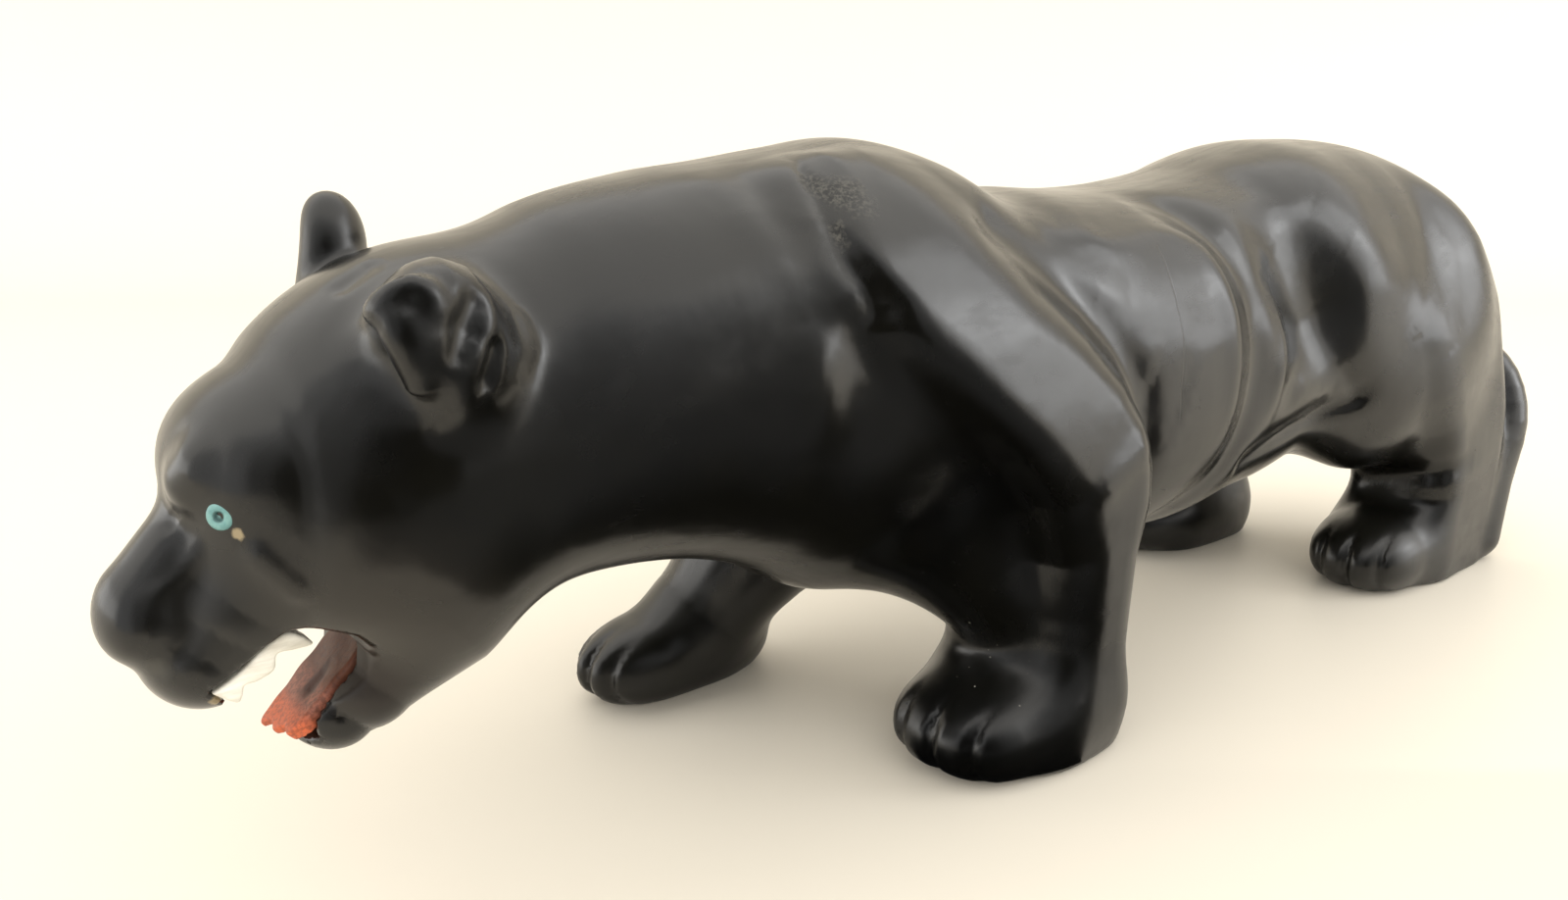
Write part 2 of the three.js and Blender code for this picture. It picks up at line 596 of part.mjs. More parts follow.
// Thin the mesh to a number of triangles: the edge whose loss changes the shape least goes first
function thin({ points, faces }, target, worth) {
  const sub = (a, b) => [a[0] - b[0], a[1] - b[1], a[2] - b[2]];
  const cross = (a, b) => [
    a[1] * b[2] - a[2] * b[1],
    a[2] * b[0] - a[0] * b[2],
    a[0] * b[1] - a[1] * b[0],
  ];
  const dot = (a, b) => a[0] * b[0] + a[1] * b[1] + a[2] * b[2];
  const tri = faces.map((f) => [...f]);
  const alive = new Uint8Array(tri.length).fill(1);
  const around = points.map(() => new Set());
  const quadric = points.map(() => new Float64Array(10));
  tri.forEach(([a, b, c], t) => {
    around[a].add(t);
    around[b].add(t);
    around[c].add(t);
    const n = cross(sub(points[b], points[a]), sub(points[c], points[a]));
    const area = Math.hypot(...n) || 1e-12;
    const [x, y, z] = n.map((v) => v / area);
    const w = -dot([x, y, z], points[a]);
    const q = [x * x, x * y, x * z, x * w, y * y, y * z, y * w, z * z, z * w, w * w];
    for (const v of [a, b, c]) for (let i = 0; i < 10; i++) quadric[v][i] += q[i] * area;
  });
  const error = (q, [x, y, z]) =>
    q[0] * x * x + 2 * q[1] * x * y + 2 * q[2] * x * z + 2 * q[3] * x + q[4] * y * y +
    2 * q[5] * y * z + 2 * q[6] * y + q[7] * z * z + 2 * q[8] * z + q[9];
  const stamp = new Int32Array(points.length);
  const gone = new Uint8Array(points.length);
  const heap = [];
  const push = (item) => {
    let i = heap.push(item) - 1;
    while (i > 0) {
      const up = (i - 1) >> 1;
      if (heap[up].cost <= heap[i].cost) break;
      [heap[up], heap[i]] = [heap[i], heap[up]];
      i = up;
    }
  };
  const pop = () => {
    const top = heap[0];
    const end = heap.pop();
    if (heap.length) {
      heap[0] = end;
      let i = 0;
      for (;;) {
        const l = 2 * i + 1;
        let m = i;
        if (l < heap.length && heap[l].cost < heap[m].cost) m = l;
        if (l + 1 < heap.length && heap[l + 1].cost < heap[m].cost) m = l + 1;
        if (m === i) break;
        [heap[m], heap[i]] = [heap[i], heap[m]];
        i = m;
      }
    }
    return top;
  };
  const offer = (a, b) => {
    const q = quadric[a].map((v, i) => v + quadric[b][i]);
    const mid = points[a].map((v, c) => (v + points[b][c]) / 2);
    const long = Math.hypot(...sub(points[a], points[b]));
    const [A, B, C, D, E, F] = [q[0], q[1], q[2], q[4], q[5], q[7]];
    const det = A * (D * F - E * E) - B * (B * F - C * E) + C * (B * E - C * D);
    let at = mid;
    if (Math.abs(det) > 1e-7 * Math.pow(A + D + F, 3)) {
      const r = [-q[3], -q[6], -q[8]];
      const best = [
        (r[0] * (D * F - E * E) - B * (r[1] * F - E * r[2]) + C * (r[1] * E - D * r[2])) / det,
        (A * (r[1] * F - E * r[2]) - r[0] * (B * F - C * E) + C * (B * r[2] - C * r[1])) / det,
        (A * (D * r[2] - E * r[1]) - B * (B * r[2] - C * r[1]) + r[0] * (B * E - C * D)) / det,
      ];
      if (Math.hypot(...sub(best, mid)) < long) at = best;
    }
    const cost = (error(q, at) + 1e-4 * long * long) * worth(at);
    push({ cost, a, b, at, sa: stamp[a], sb: stamp[b] });
  };
  for (const [a, b, c] of tri) {
    if (a < b) offer(a, b);
    if (b < c) offer(b, c);
    if (c < a) offer(c, a);
  }
  const ring = (v) => {
    const set = new Set();
    for (const t of around[v]) for (const u of tri[t]) if (u !== v) set.add(u);
    return set;
  };
  let count = tri.length;
  while (count > target && heap.length) {
    const { a, b, at, sa, sb } = pop();
    if (gone[a] || gone[b] || stamp[a] !== sa || stamp[b] !== sb) continue;
    const ringA = ring(a);
    const ringB = ring(b);
    let shared = 0;
    for (const v of ringA) if (ringB.has(v)) shared++;
    if (shared !== 2 || ringA.size + ringB.size > 24) continue;
    let fine = true;
    for (const v of [a, b])
      for (const t of around[v]) {
        const f = tri[t];
        if (f.includes(a) && f.includes(b)) continue;
        const now = f.map((u) => points[u]);
        const then = f.map((u) => (u === v ? at : points[u]));
        const n0 = cross(sub(now[1], now[0]), sub(now[2], now[0]));
        const n1 = cross(sub(then[1], then[0]), sub(then[2], then[0]));
        const l1 = Math.hypot(...n1);
        const edge = Math.max(
          dot(sub(then[1], then[0]), sub(then[1], then[0])),
          dot(sub(then[2], then[1]), sub(then[2], then[1])),
          dot(sub(then[0], then[2]), sub(then[0], then[2])),
        );
        const l0 = Math.hypot(...n0);
        if (l0 > 1e-3 && dot(n0, n1) < 0.4 * l0 * l1) fine = false;
        if (l1 < 0.1 * edge && l0 > 1e-3) fine = false;
      }
    if (!fine) continue;
    for (const t of [...around[b]]) {
      if (tri[t].includes(a)) {
        alive[t] = 0;
        count--;
        for (const u of tri[t]) around[u].delete(t);
      } else {
        tri[t][tri[t].indexOf(b)] = a;
        around[a].add(t);
      }
    }
    gone[b] = 1;
    points[a] = at;
    for (let i = 0; i < 10; i++) quadric[a][i] += quadric[b][i];
    stamp[a]++;
    for (const v of ring(a)) offer(Math.min(a, v), Math.max(a, v));
  }
  const used = new Map();
  const kept = [];
  const out = [];
  tri.forEach((f, t) => {
    if (!alive[t]) return;
    out.push(
      f.map((v) => {
        if (!used.has(v)) {
          used.set(v, kept.length);
          kept.push(points[v]);
        }
        return used.get(v);
      }),
    );
  });
  return { points: kept, faces: out };
}

// Solids for joining and cutting
const wasm = await Module();
wasm.setup();
function solidFrom(points, faces) {
  const mesh = new wasm.Mesh({
    numProp: 3,
    vertProperties: Float32Array.from(points.flat()),
    triVerts: Uint32Array.from(faces.flat()),
  });
  mesh.merge();
  return new wasm.Manifold(mesh);
}
function solidOf(geometry) {
  const g = geometry.index ? geometry.toNonIndexed() : geometry;
  const at = g.getAttribute("position");
  const key = new Map();
  const points = [];
  const order = [];
  for (let i = 0; i < at.count; i++) {
    const p = [at.getX(i), at.getY(i), at.getZ(i)];
    const name = p.map((v) => Math.round(v * 1e4)).join();
    if (!key.has(name)) {
      key.set(name, points.length);
      points.push(p);
    }
    order.push(key.get(name));
  }
  const faces = [];
  for (let i = 0; i < order.length; i += 3) {
    const f = order.slice(i, i + 3);
    if (new Set(f).size === 3) faces.push(f);
  }
  return solidFrom(points, faces);
}
function meshOf(solid) {
  const mesh = solid.getMesh();
  const points = [];
  const faces = [];
  for (let i = 0; i < mesh.numVert; i++)
    points.push([0, 1, 2].map((c) => mesh.vertProperties[mesh.numProp * i + c]));
  for (let i = 0; i < mesh.numTri; i++) faces.push([0, 1, 2].map((c) => mesh.triVerts[3 * i + c]));
  return { points, faces };
}
function geometryOf({ points, faces }) {
  const g = new THREE.BufferGeometry();
  g.setAttribute("position", new THREE.Float32BufferAttribute(points.flat(), 3));
  g.setIndex(faces.flat());
  g.computeVertexNormals();
  return g;
}

// A side outline (x, z) given a width across the body, from y0 to y1
function slab(outline, y0, y1) {
  const shape = new THREE.Shape(outline.map(([x, z]) => new THREE.Vector2(x, z)));
  const g = new THREE.ExtrudeGeometry(shape, { depth: y1 - y0, bevelEnabled: false, steps: 1 });
  g.rotateX(Math.PI / 2);
  g.translate(0, y1, 0);
  return g;
}

// A bead with a hole through it, its axis along Z and its outer face at z = 0
function bead(radius, hole, length) {
  const round = 0.22;
  const profile = [
    [hole, -length],
    [radius, -length],
    [radius, -round],
    [radius - round, 0],
    [hole + round * 0.6, 0],
    [hole, -round * 0.6],
    [hole, -length],
  ];
  const g = new THREE.LatheGeometry(
    profile.map(([r, z]) => new THREE.Vector2(r, z)),
    28,
  );
  g.rotateX(Math.PI / 2);
  return g;
}

// Stand a shape drawn along Z on the head where an eye sits, facing out of the stone
function eyePlace(geometry, { at, turn, tilt }, side) {
  const facing = new THREE.Vector3(
    -Math.sin(turn * RAD) * Math.cos(tilt * RAD),
    side * Math.cos(turn * RAD) * Math.cos(tilt * RAD),
    Math.sin(tilt * RAD),
  );
  const turnTo = new THREE.Quaternion().setFromUnitVectors(new THREE.Vector3(0, 0, 1), facing);
  geometry.applyQuaternion(turnTo);
  geometry.translate(...at);
  return geometry;
}

// Where the line of an eye meets the stone
function eyeSeat(eye, side) {
  const facing = [
    -Math.sin(eye.turn * RAD) * Math.cos(eye.tilt * RAD),
    side * Math.cos(eye.turn * RAD) * Math.cos(eye.tilt * RAD),
    Math.sin(eye.tilt * RAD),
  ];
  const p = [...eye.at];
  for (let n = 0; n < 30; n++) {
    const d = stone(...p);
    for (let c = 0; c < 3; c++) p[c] -= facing[c] * d * 0.8;
  }
  return { ...eye, at: p.map((v, c) => v + facing[c] * EYE_PROUD) };
}

const TONGUE_LONG = Math.hypot(TONGUE_TIP[0] - TONGUE_ROOT[0], TONGUE_TIP[1] - TONGUE_ROOT[1]);

// A point along the tongue by s from its root, and above its upper face by t: x, z
function onTongue(s, t) {
  const ux = (TONGUE_TIP[0] - TONGUE_ROOT[0]) / TONGUE_LONG;
  const uz = (TONGUE_TIP[1] - TONGUE_ROOT[1]) / TONGUE_LONG;
  return [TONGUE_ROOT[0] + ux * s + uz * t, TONGUE_ROOT[1] + uz * s - ux * t];
}

// The tongue: a flat strip that follows the lower jaw, sunk a little between its rims; grow
// makes the outline of the bed it lies in, which is open above
function tongueOutline(grow) {
  const above = grow * 6;
  return [
    onTongue(-1.2 - grow, above - 0.4),
    onTongue(0.4, above - 0.1),
    onTongue(TONGUE_LONG * 0.45, above + 0.3),
    onTongue(TONGUE_LONG - 0.9, above),
    onTongue(TONGUE_LONG + grow * 9, above - 0.6),
    onTongue(TONGUE_LONG + grow * 9, -TONGUE_THICK * 0.6),
    onTongue(TONGUE_LONG - 0.8, -TONGUE_THICK - grow),
    onTongue(-1.2 - grow, -TONGUE_THICK - grow),
  ];
}

// What is cut from the rims of the jaw, which end just below the tongue's upper face
const JAW_RIMS = [
  onTongue(1, -0.5),
  onTongue(TONGUE_LONG + 4, -0.5),
  onTongue(TONGUE_LONG + 4, 1.8),
  onTongue(-1, 1.8),
  onTongue(-1, 1),
];

const STONE_BLACK = new THREE.MeshStandardMaterial({
  name: "black stone",
  color: 0x171816,
  roughness: 0.28,
  metalness: 0,
});
const TURQUOISE = new THREE.MeshStandardMaterial({
  name: "turquoise",
  color: 0x5fa9a8,
  roughness: 0.5,
  metalness: 0,
});
const SHELL = new THREE.MeshStandardMaterial({
  name: "white shell",
  color: 0xded8cb,
  roughness: 0.4,
  metalness: 0,
});
const CORAL = new THREE.MeshStandardMaterial({
  name: "coral",
  color: 0xb0583e,
  roughness: 0.6,
  metalness: 0,
});

// Small forms keep more triangles: the ears most, then the head, then the paws
function worthOf([x, y, z]) {
  if (x < -62 && Math.abs(y) > 9 && z > 56) return 22;
  if (x < -60) return 5;
  return z < 13 ? 3 : 1;
}

// The carved body
const raw = skin(stone, [
  [...steps(-103, -58, HEAD_CELL), ...steps(-58, 146, CELL)],
  steps(-37, 37, CELL * 0.85),
  [...steps(-4, 55, CELL * 0.85), ...steps(55, 84, HEAD_CELL)],
]);
settle(raw, stone, 4);
let body = solidFrom(raw.points, raw.faces);
body = body.subtract(solidOf(new THREE.BoxGeometry(300, 100, 10).translate(20, 0, -5)));
body = body.subtract(solidOf(slab(MOUTH, -20, 20)));

const leftEye = eyeSeat(EYE_LEFT, -1);
const rightEye = eyeSeat(EYE_RIGHT, 1);
for (const [eye, side] of [[leftEye, -1], [rightEye, 1]]) {
  const depth = EYE_LENGTH + SET_GAP;
  const drill = new THREE.CylinderGeometry(EYE_RADIUS + SET_GAP, EYE_RADIUS + SET_GAP, depth + 4, 28);
  drill.rotateX(Math.PI / 2).translate(0, 0, 2 - depth / 2);
  body = body.subtract(solidOf(eyePlace(drill, eye, side)));
}
const bedHalf = TONGUE_HALF_WIDTH + SET_GAP;
body = body.subtract(solidOf(slab(tongueOutline(SET_GAP), -bedHalf, bedHalf)));
body = body.subtract(solidOf(slab(JAW_RIMS, -20, 20)));
const strips = [-1, 1].map((side) => {
  const [near, far] = [TOOTH_STRIP_FACE - TOOTH_STRIP_WIDTH, TOOTH_STRIP_FACE];
  return slab(TEETH, side > 0 ? near : -far, side > 0 ? far : -near);
});

const group = new THREE.Group();
function add(name, geometry, material) {
  const mesh = new THREE.Mesh(geometry, material);
  mesh.name = name;
  mesh.geometry.translate(SHIFT_X, SHIFT_Y, 0);
  group.add(mesh);
}
const light = thin(meshOf(body), BODY_TRIANGLES, worthOf);
add("body", geometryOf(light), STONE_BLACK);
add("left_eye", eyePlace(bead(EYE_RADIUS, EYE_HOLE, EYE_LENGTH), leftEye, -1), TURQUOISE);
add("right_eye", eyePlace(bead(EYE_RADIUS, EYE_HOLE, EYE_LENGTH), rightEye, 1), TURQUOISE);
add("left_teeth", strips[0], SHELL);
add("right_teeth", strips[1], SHELL);
add("tongue", slab(tongueOutline(0), -TONGUE_HALF_WIDTH, TONGUE_HALF_WIDTH), CORAL);

export default group;
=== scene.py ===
# %% [markdown]
# # A carved stone panther
# The figurine is cut from one block of black stone and polished, with drilled beads for eyes,
# strips of shell for teeth and a coral tongue. It could be sculpted, or built from patches that
# meet in seams. Here the stone is one smooth field, negative inside and positive outside: simple
# shapes are blended into each other, grooves and ridges are added along lines, and the surface
# where the field is zero is found on a grid. It has no seams, and every form in it is a number.

# %% The frame
import json
import math

import bpy
import numpy as np
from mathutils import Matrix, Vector

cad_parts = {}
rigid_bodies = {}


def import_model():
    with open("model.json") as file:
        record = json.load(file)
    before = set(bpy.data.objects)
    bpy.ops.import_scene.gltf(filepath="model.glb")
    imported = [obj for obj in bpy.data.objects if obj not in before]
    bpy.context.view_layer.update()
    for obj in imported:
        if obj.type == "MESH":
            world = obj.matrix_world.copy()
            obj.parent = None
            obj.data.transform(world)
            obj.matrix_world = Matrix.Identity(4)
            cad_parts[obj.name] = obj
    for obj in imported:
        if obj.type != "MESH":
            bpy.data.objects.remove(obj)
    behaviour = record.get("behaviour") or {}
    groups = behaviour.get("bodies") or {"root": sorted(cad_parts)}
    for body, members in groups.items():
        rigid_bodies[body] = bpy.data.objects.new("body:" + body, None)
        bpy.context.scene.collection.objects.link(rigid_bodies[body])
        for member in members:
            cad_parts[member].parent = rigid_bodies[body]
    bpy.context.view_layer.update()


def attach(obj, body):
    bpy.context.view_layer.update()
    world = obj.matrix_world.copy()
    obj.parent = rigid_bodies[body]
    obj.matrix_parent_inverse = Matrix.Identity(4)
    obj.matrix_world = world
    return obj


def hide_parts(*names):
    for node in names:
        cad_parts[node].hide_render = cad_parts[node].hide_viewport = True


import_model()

MM = 0.001
# From the carver's frame to the part's own, in mm. In the carver's frame X runs from the head to
# the tail with its zero at the left forepaw, Y is minus on the animal's left, and Z is zero on
# the ground. Every size below is in it, in mm, and agrees with the solids.
SHIFT = np.array([-21.19, -0.6, 0.0])

# %% [markdown]
# ## Camera
# The photograph was taken from close by, at the head's left and a little above the back, so the
# head is large and the tail small. Only the same place, heading and lens give that.

# %% Camera
PHOTO_WIDTH = 1600
FOCAL_PIXELS = 1300
HORIZON_PIXELS = 359  # from the horizon down to the middle of the picture
SENSOR = 36.0
CAMERA_AT = np.array([-117.2, -121.5, 84.0])
CAMERA_HEADING = math.radians(39.096)
CAMERA_DROP = HORIZON_PIXELS / FOCAL_PIXELS  # how far the view sinks for each step ahead
AHEAD = np.array([math.sin(CAMERA_HEADING), math.cos(CAMERA_HEADING), 0])
RIGHT = np.array([AHEAD[1], -AHEAD[0], 0])

camera = bpy.data.objects.new("camera", bpy.data.cameras.new("camera"))
bpy.context.collection.objects.link(camera)
camera.data.sensor_width = SENSOR
camera.data.lens = FOCAL_PIXELS / PHOTO_WIDTH * SENSOR
camera.data.clip_start = 0.005
camera.location = Vector((CAMERA_AT + SHIFT) * MM)
forward = Vector(AHEAD - (0, 0, CAMERA_DROP))
camera.rotation_euler = forward.to_track_quat("-Z", "Y").to_euler()
bpy.context.scene.camera = camera
print("camera at", *camera.location, "with a lens of", camera.data.lens)

# %% [markdown]
# ## Blending
# A carver leaves a fillet wherever two forms meet. The lesser of two distances joins two shapes
# with a sharp valley, so the sums below round it over a few millimetres, chosen for each pair.


# %% Blends
def join(a, b, k):
    """The lesser of a and b, less a quarter of k where they are equal, so that two shapes that
    meet are filleted over about k."""
    h = np.maximum(k - np.abs(a - b), 0) / k
    return np.minimum(a, b) - h * h * k * 0.25


def cut(a, b, k):
    """The greater of a and b, rounded over k: a with everything outside b taken away."""
    return -join(-a, -b, k)


def ease(t):
    """0 below 0, 1 above 1 and 3 t^2 - 2 t^3 between, so that nothing bends sharply."""
    t = np.clip(t, 0, 1)
    return t * t * (3 - 2 * t)


def rotate(a, b, degrees):
    """Two places read along axes that are turned from the first toward the second."""
    c, s = math.cos(math.radians(degrees)), math.sin(math.radians(degrees))
    return a * c + b * s, b * c - a * s


# %% Curves through tables and lines
def cubic(t, a, b, m, n):
    """A cubic that goes from a to b as t goes from 0 to 1, with slope m at a and n at b."""
    t2, t3 = t * t, t * t * t
    return (2 * t3 - 3 * t2 + 1) * a + (t3 - 2 * t2 + t) * m + (3 * t2 - 2 * t3) * b + (t3 - t2) * n


def along(table, x, column):
    """A smooth curve through one column of a table: a cubic between two rows, whose slope at a
    row is that of the line between the rows either side of it."""
    xs, ys = table[:, 0], table[:, column]
    slope = np.empty_like(ys)
    slope[1:-1] = (ys[2:] - ys[:-2]) / (xs[2:] - xs[:-2])
    slope[0] = (ys[1] - ys[0]) / (xs[1] - xs[0])
    slope[-1] = (ys[-1] - ys[-2]) / (xs[-1] - xs[-2])
    x = np.clip(x, xs[0], xs[-1])
    i = np.clip(np.searchsorted(xs, x) - 1, 0, len(xs) - 2)
    h = xs[i + 1] - xs[i]
    return cubic((x - xs[i]) / h, ys[i], ys[i + 1], h * slope[i], h * slope[i + 1])


def bend(line, pieces=5):
    """A line of points made smooth: between two points, a cubic that leaves each one parallel to
    the line between its neighbours."""
    line = np.asarray(line, float)
    if len(line) < 3:
        return line
    slope = np.empty_like(line)
    slope[1:-1] = (line[2:] - line[:-2]) / 2
    slope[0], slope[-1] = line[1] - line[0], line[-1] - line[-2]
    t = (np.arange(pieces) / pieces)[:, None]
    parts = [cubic(t, *ends) for ends in zip(line[:-1], line[1:], slope[:-1], slope[1:])]
    return np.concatenate(parts + [line[-1:]])


# %% Distances to lines
def to_line(p, line):
    """The least distance from each point to a line of points, in as many dimensions as given, and
    the place of the nearest point as a share of the line's length."""
    line = np.asarray(line, float)
    best, place, done = np.full(len(p), 1e9), np.zeros(len(p)), 0.0
    for a, b in zip(line[:-1], line[1:]):
        ab = b - a
        long = np.linalg.norm(ab)
        t = np.clip((p - a) @ ab / (ab @ ab), 0, 1)
        q = p - a - t[:, None] * ab
        far = np.einsum("ij,ij->i", q, q)
        nearer = far < best
        best = np.where(nearer, far, best)
        place = np.where(nearer, done + t * long, place)
        done += long
    return np.sqrt(best), place / done


def to_outline(x, z, outline):
    """The distance to a closed outline, negative where a ray along X crosses it an odd number of
    times."""
    inside = np.zeros(len(x), bool)
    for (xa, za), (xb, zb) in zip(outline, outline[1:] + outline[:1]):
        if za != zb:
            crossing = ((za > z) != (zb > z)) & (x < (xb - xa) * (z - za) / (zb - za) + xa)
            inside ^= crossing
    d = to_line(np.stack([x, z], 1), outline + outline[:1])[0]
    return np.where(inside, -d, d)


# %% [markdown]
# ## Kinds of shape
# Muscles are ellipsoids, bones are rows of balls, and a leg that was sawn from the flat side of
# the block is a plate with a side outline. Each answers for many points at once, and only near
# its own box, because the finest grid has over a million points.


# %% Shapes
class Shape:
    """A shape with the box that holds it, so that far points are left alone."""

    def __init__(self, distance, low, high):
        self.distance = distance
        self.low = np.asarray(low, float)
        self.high = np.asarray(high, float)

    def near(self, p, reach):
        """The rows of p within reach of the shape's box."""
        return np.flatnonzero(np.all((p > self.low - reach) & (p < self.high + reach), axis=1))


def change(d, p, shape, how, k):
    """d with a shape joined to it or cut from it, worked out only near the shape."""
    rows = shape.near(p, k + 4)
    if len(rows):
        x, y, z = p[rows].T
        other = shape.distance(x, y, z)
        d[rows] = join(d[rows], other, k) if how == "join" else cut(d[rows], -other, k)


def ellipsoid(centre, radii, pitch=0, yaw=0):
    """With q the point divided by the radii in the ellipsoid's own axes, |q| times (|q| - 1) over
    the length of q divided once more by the radii."""
    rx, ry, rz = radii

    def distance(x, y, z):
        a, b = rotate(x - centre[0], y - centre[1], yaw)
        a, c = rotate(a, z - centre[2], pitch)
        u, v, w = a / rx, b / ry, c / rz
        k0 = np.sqrt(u * u + v * v + w * w)
        k1 = np.sqrt((u / rx) ** 2 + (v / ry) ** 2 + (w / rz) ** 2)
        return k0 * (k0 - 1) / np.maximum(k1, 1e-6)

    r = max(radii)
    return Shape(distance, np.subtract(centre, r), np.add(centre, r))


def limb(balls, wide=1.0):
    """Balls joined in a row: the distance to the line between two centres, less a radius that
    runs evenly from one to the other."""
    balls = np.asarray(balls, float)

    def distance(x, y, z):
        best = np.full(len(x), 1e9)
        for a, e in zip(balls[:-1], balls[1:]):
            b = (e[:3] - a[:3]) / (1, wide, 1)
            p = np.stack([x - a[0], (y - a[1]) / wide, z - a[2]], 1)
            t = np.clip(p @ b / (b @ b), 0, 1)
            q = p - t[:, None] * b
            best = np.minimum(best, np.sqrt(np.einsum("ij,ij->i", q, q)) - (a[3] + (e[3] - a[3]) * t))
        return best * min(1, wide)

    r = balls[:, 3:] * max(1, wide)
    return Shape(distance, (balls[:, :3] - r).min(0), (balls[:, :3] + r).max(0))


def plate(outline, side, inner, shrink, k, faces):
    """A side outline between an inner plane and an outer face whose stand-off varies with z."""

    def distance(x, y, z):
        out = y * side
        edge = to_outline(x, z, outline)
        face = (out - (along(faces, z, 1) - shrink)) * 0.9
        return cut(cut(edge, face, k), inner - out, k)

    xs, zs = zip(*outline)
    reach = faces[:, 1].max() - shrink
    ys = sorted((side * inner, side * reach))
    return Shape(distance, (min(xs), ys[0], min(zs)), (max(xs), ys[1], max(zs)))


# %% Paws
# place across as a share of the half width, half width of the groove, depth
TOE_GROOVES = [(-0.52, 0.75, 0.5), (0.0, 0.75, 0.55), (0.5, 0.75, 0.5)]


def paw(centre, length, half, high, yaw):
    """A rounded block by a sum of powers, with grooves between its toes that are deepest at the
    front."""

    def distance(x, y, z):
        a, b = rotate(x - centre[0], y - centre[1], yaw)
        toe = -a / length
        u = np.abs(toe)
        v = np.abs(b) / (half * (1 + 0.06 * toe))
        t = np.abs(z - 0.42 * high) / (high * (1 - 0.1 * np.minimum(toe, 1)) * 0.58)
        r = (u**2.6 + v**2.6 + t**2.2) ** (1 / 2.6)
        d = (r - 1) * min(length, half, high * 0.9) * 0.95
        fade = np.clip((toe - 0.55) / 0.35, 0, 1) * np.clip((high - z) / (0.35 * high), 0.05, 1)
        for place, wide, deep in TOE_GROOVES:
            d = d + deep * fade * np.exp(-(((b - place * half) / wide) ** 2))
        return d

    r = length + 1
    low = (centre[0] - r, centre[1] - half - 3, -4)
    high_corner = (centre[0] + r, centre[1] + half + 3, high + 2)
    return Shape(distance, low, high_corner)


# %% [markdown]
# ## Trunk
# Neck, chest, belly and rump are one long form. It could be a chain of ellipsoids, but its top
# and its underside are what the outline shows, so both are tables that a curve runs through.

# %% Trunk
# x, top, underside, half width, squareness
TRUNK = np.array([
    [-84, 54, 42, 4, 2], [-81, 60.5, 36.5, 11, 2.1], [-72, 66.8, 31, 17, 2.1],
    [-62, 69.6, 31.6, 18.5, 2.1], [-52, 73.8, 33, 19.5, 2.1], [-40, 76.2, 32, 20.5, 2.15],
    [-30, 77.2, 29, 21.8, 2.2], [-20, 78.4, 23.5, 23, 2.2], [-10, 79.3, 21.4, 23.5, 2.2],
    [0, 77.1, 19.9, 24, 2.3], [10, 72.6, 20, 24.5, 2.4], [20, 72.1, 19.5, 25, 2.4],
    [30, 71.4, 19, 25.5, 2.4], [40, 71.3, 18.8, 25.5, 2.4], [50, 71.8, 19, 24.5, 2.4],
    [60, 73.0, 20, 23.5, 2.4], [70, 75.2, 20.8, 23.5, 2.4], [80, 77, 23.2, 24.5, 2.3],
    [90, 77.2, 25.4, 24, 2.2], [100, 76.7, 27.2, 22.5, 2.1], [110, 74.4, 29, 20, 2.1],
    [118, 69.6, 31.5, 17, 2], [125, 62.4, 35.5, 13, 2], [130, 55.6, 41, 9, 2],
    [133, 50, 46, 3, 2],
])
TRUNK_FINE = np.linspace(-85, 140, 451)
TRUNK_ROWS = [along(TRUNK, TRUNK_FINE, column) for column in (1, 2, 3, 4)]


def trunk(x, y, z):
    """A section at each x whose halves obey |y / half|^n + |z / tall|^n = 1, with the distance
    taken as the excess over 1 divided by its slope."""
    top, under, half, n = (np.interp(x, TRUNK_FINE, row) for row in TRUNK_ROWS)
    tall = (top - under) / 2
    u, v = np.abs(y) / half, np.abs(z - (top + under) / 2) / tall
    r = (u**n + v**n) ** (1 / n) + 1e-9
    slope = np.hypot((u / r) ** (n - 1) / half, (v / r) ** (n - 1) / tall)
    d = (r - 1) / slope
    past = np.maximum(np.maximum(TRUNK[0, 0] - x, x - TRUNK[-1, 0]), 0)
    return np.where(past > 0, np.hypot(np.maximum(d, 0), past), d)


print("trunk from", TRUNK[0, 0], "to", TRUNK[-1, 0])

# %% [markdown]
# ## Head
# Seen from the side it is a round skull, a stop at the eyes and a blunt muzzle over a thin jaw.
# Each is a shape of its own, so that each can be set against the photograph alone.

# %% Head
cranium = ellipsoid((-72.8, 0, 54), (19.5, 15.2, 11.5), 35)
brow = ellipsoid((-84.1, 0, 52.1), (6.8, 11, 6.2), 40)
cheeks = ellipsoid((-74, 0, 43.2), (12, 15.2, 13), 40)
bridge = limb([(-85.8, 0, 48.2, 4.3), (-93.4, 0, 39.8, 4.4)], 1.12)
nose = ellipsoid((-94.1, 0, 38), (4.5, 5.4, 4.1), 55)
upper_lip = limb([(-81, 0, 44, 8.4), (-86.5, 0, 38.2, 6.8), (-89.9, 0, 34, 5.7)], 1.3)
lower_jaw = limb([(-69.2, 0, 33.5, 8.2), (-75.6, 0, 27.8, 6.2), (-78.5, 0, 25, 4.8)], 1.45)
left_brow_bump = limb([(-89.4, -3.8, 51.1, 2.0), (-88.8, -4.9, 52.4, 1.9)])


def head_field(p):
    """Skull, cheeks, brow, muzzle and jaw blended in that order."""
    x, y, z = p.T
    d = join(cranium.distance(x, y, z), cheeks.distance(x, y, z), 6)
    d = join(d, brow.distance(x, y, z), 4)
    d = join(d, upper_lip.distance(x, y, z), 3.5)
    d = join(d, join(bridge.distance(x, y, z), nose.distance(x, y, z), 2), 1.6)
    return join(d, lower_jaw.distance(x, y, z), 4)


# %% [markdown]
# ## Ears
# The left ear is carved: one long curl, a flap that hangs from it and a deep hollow behind them.
# The right ear is a plain cup. Thin limbs joined to a flattened ball give both.

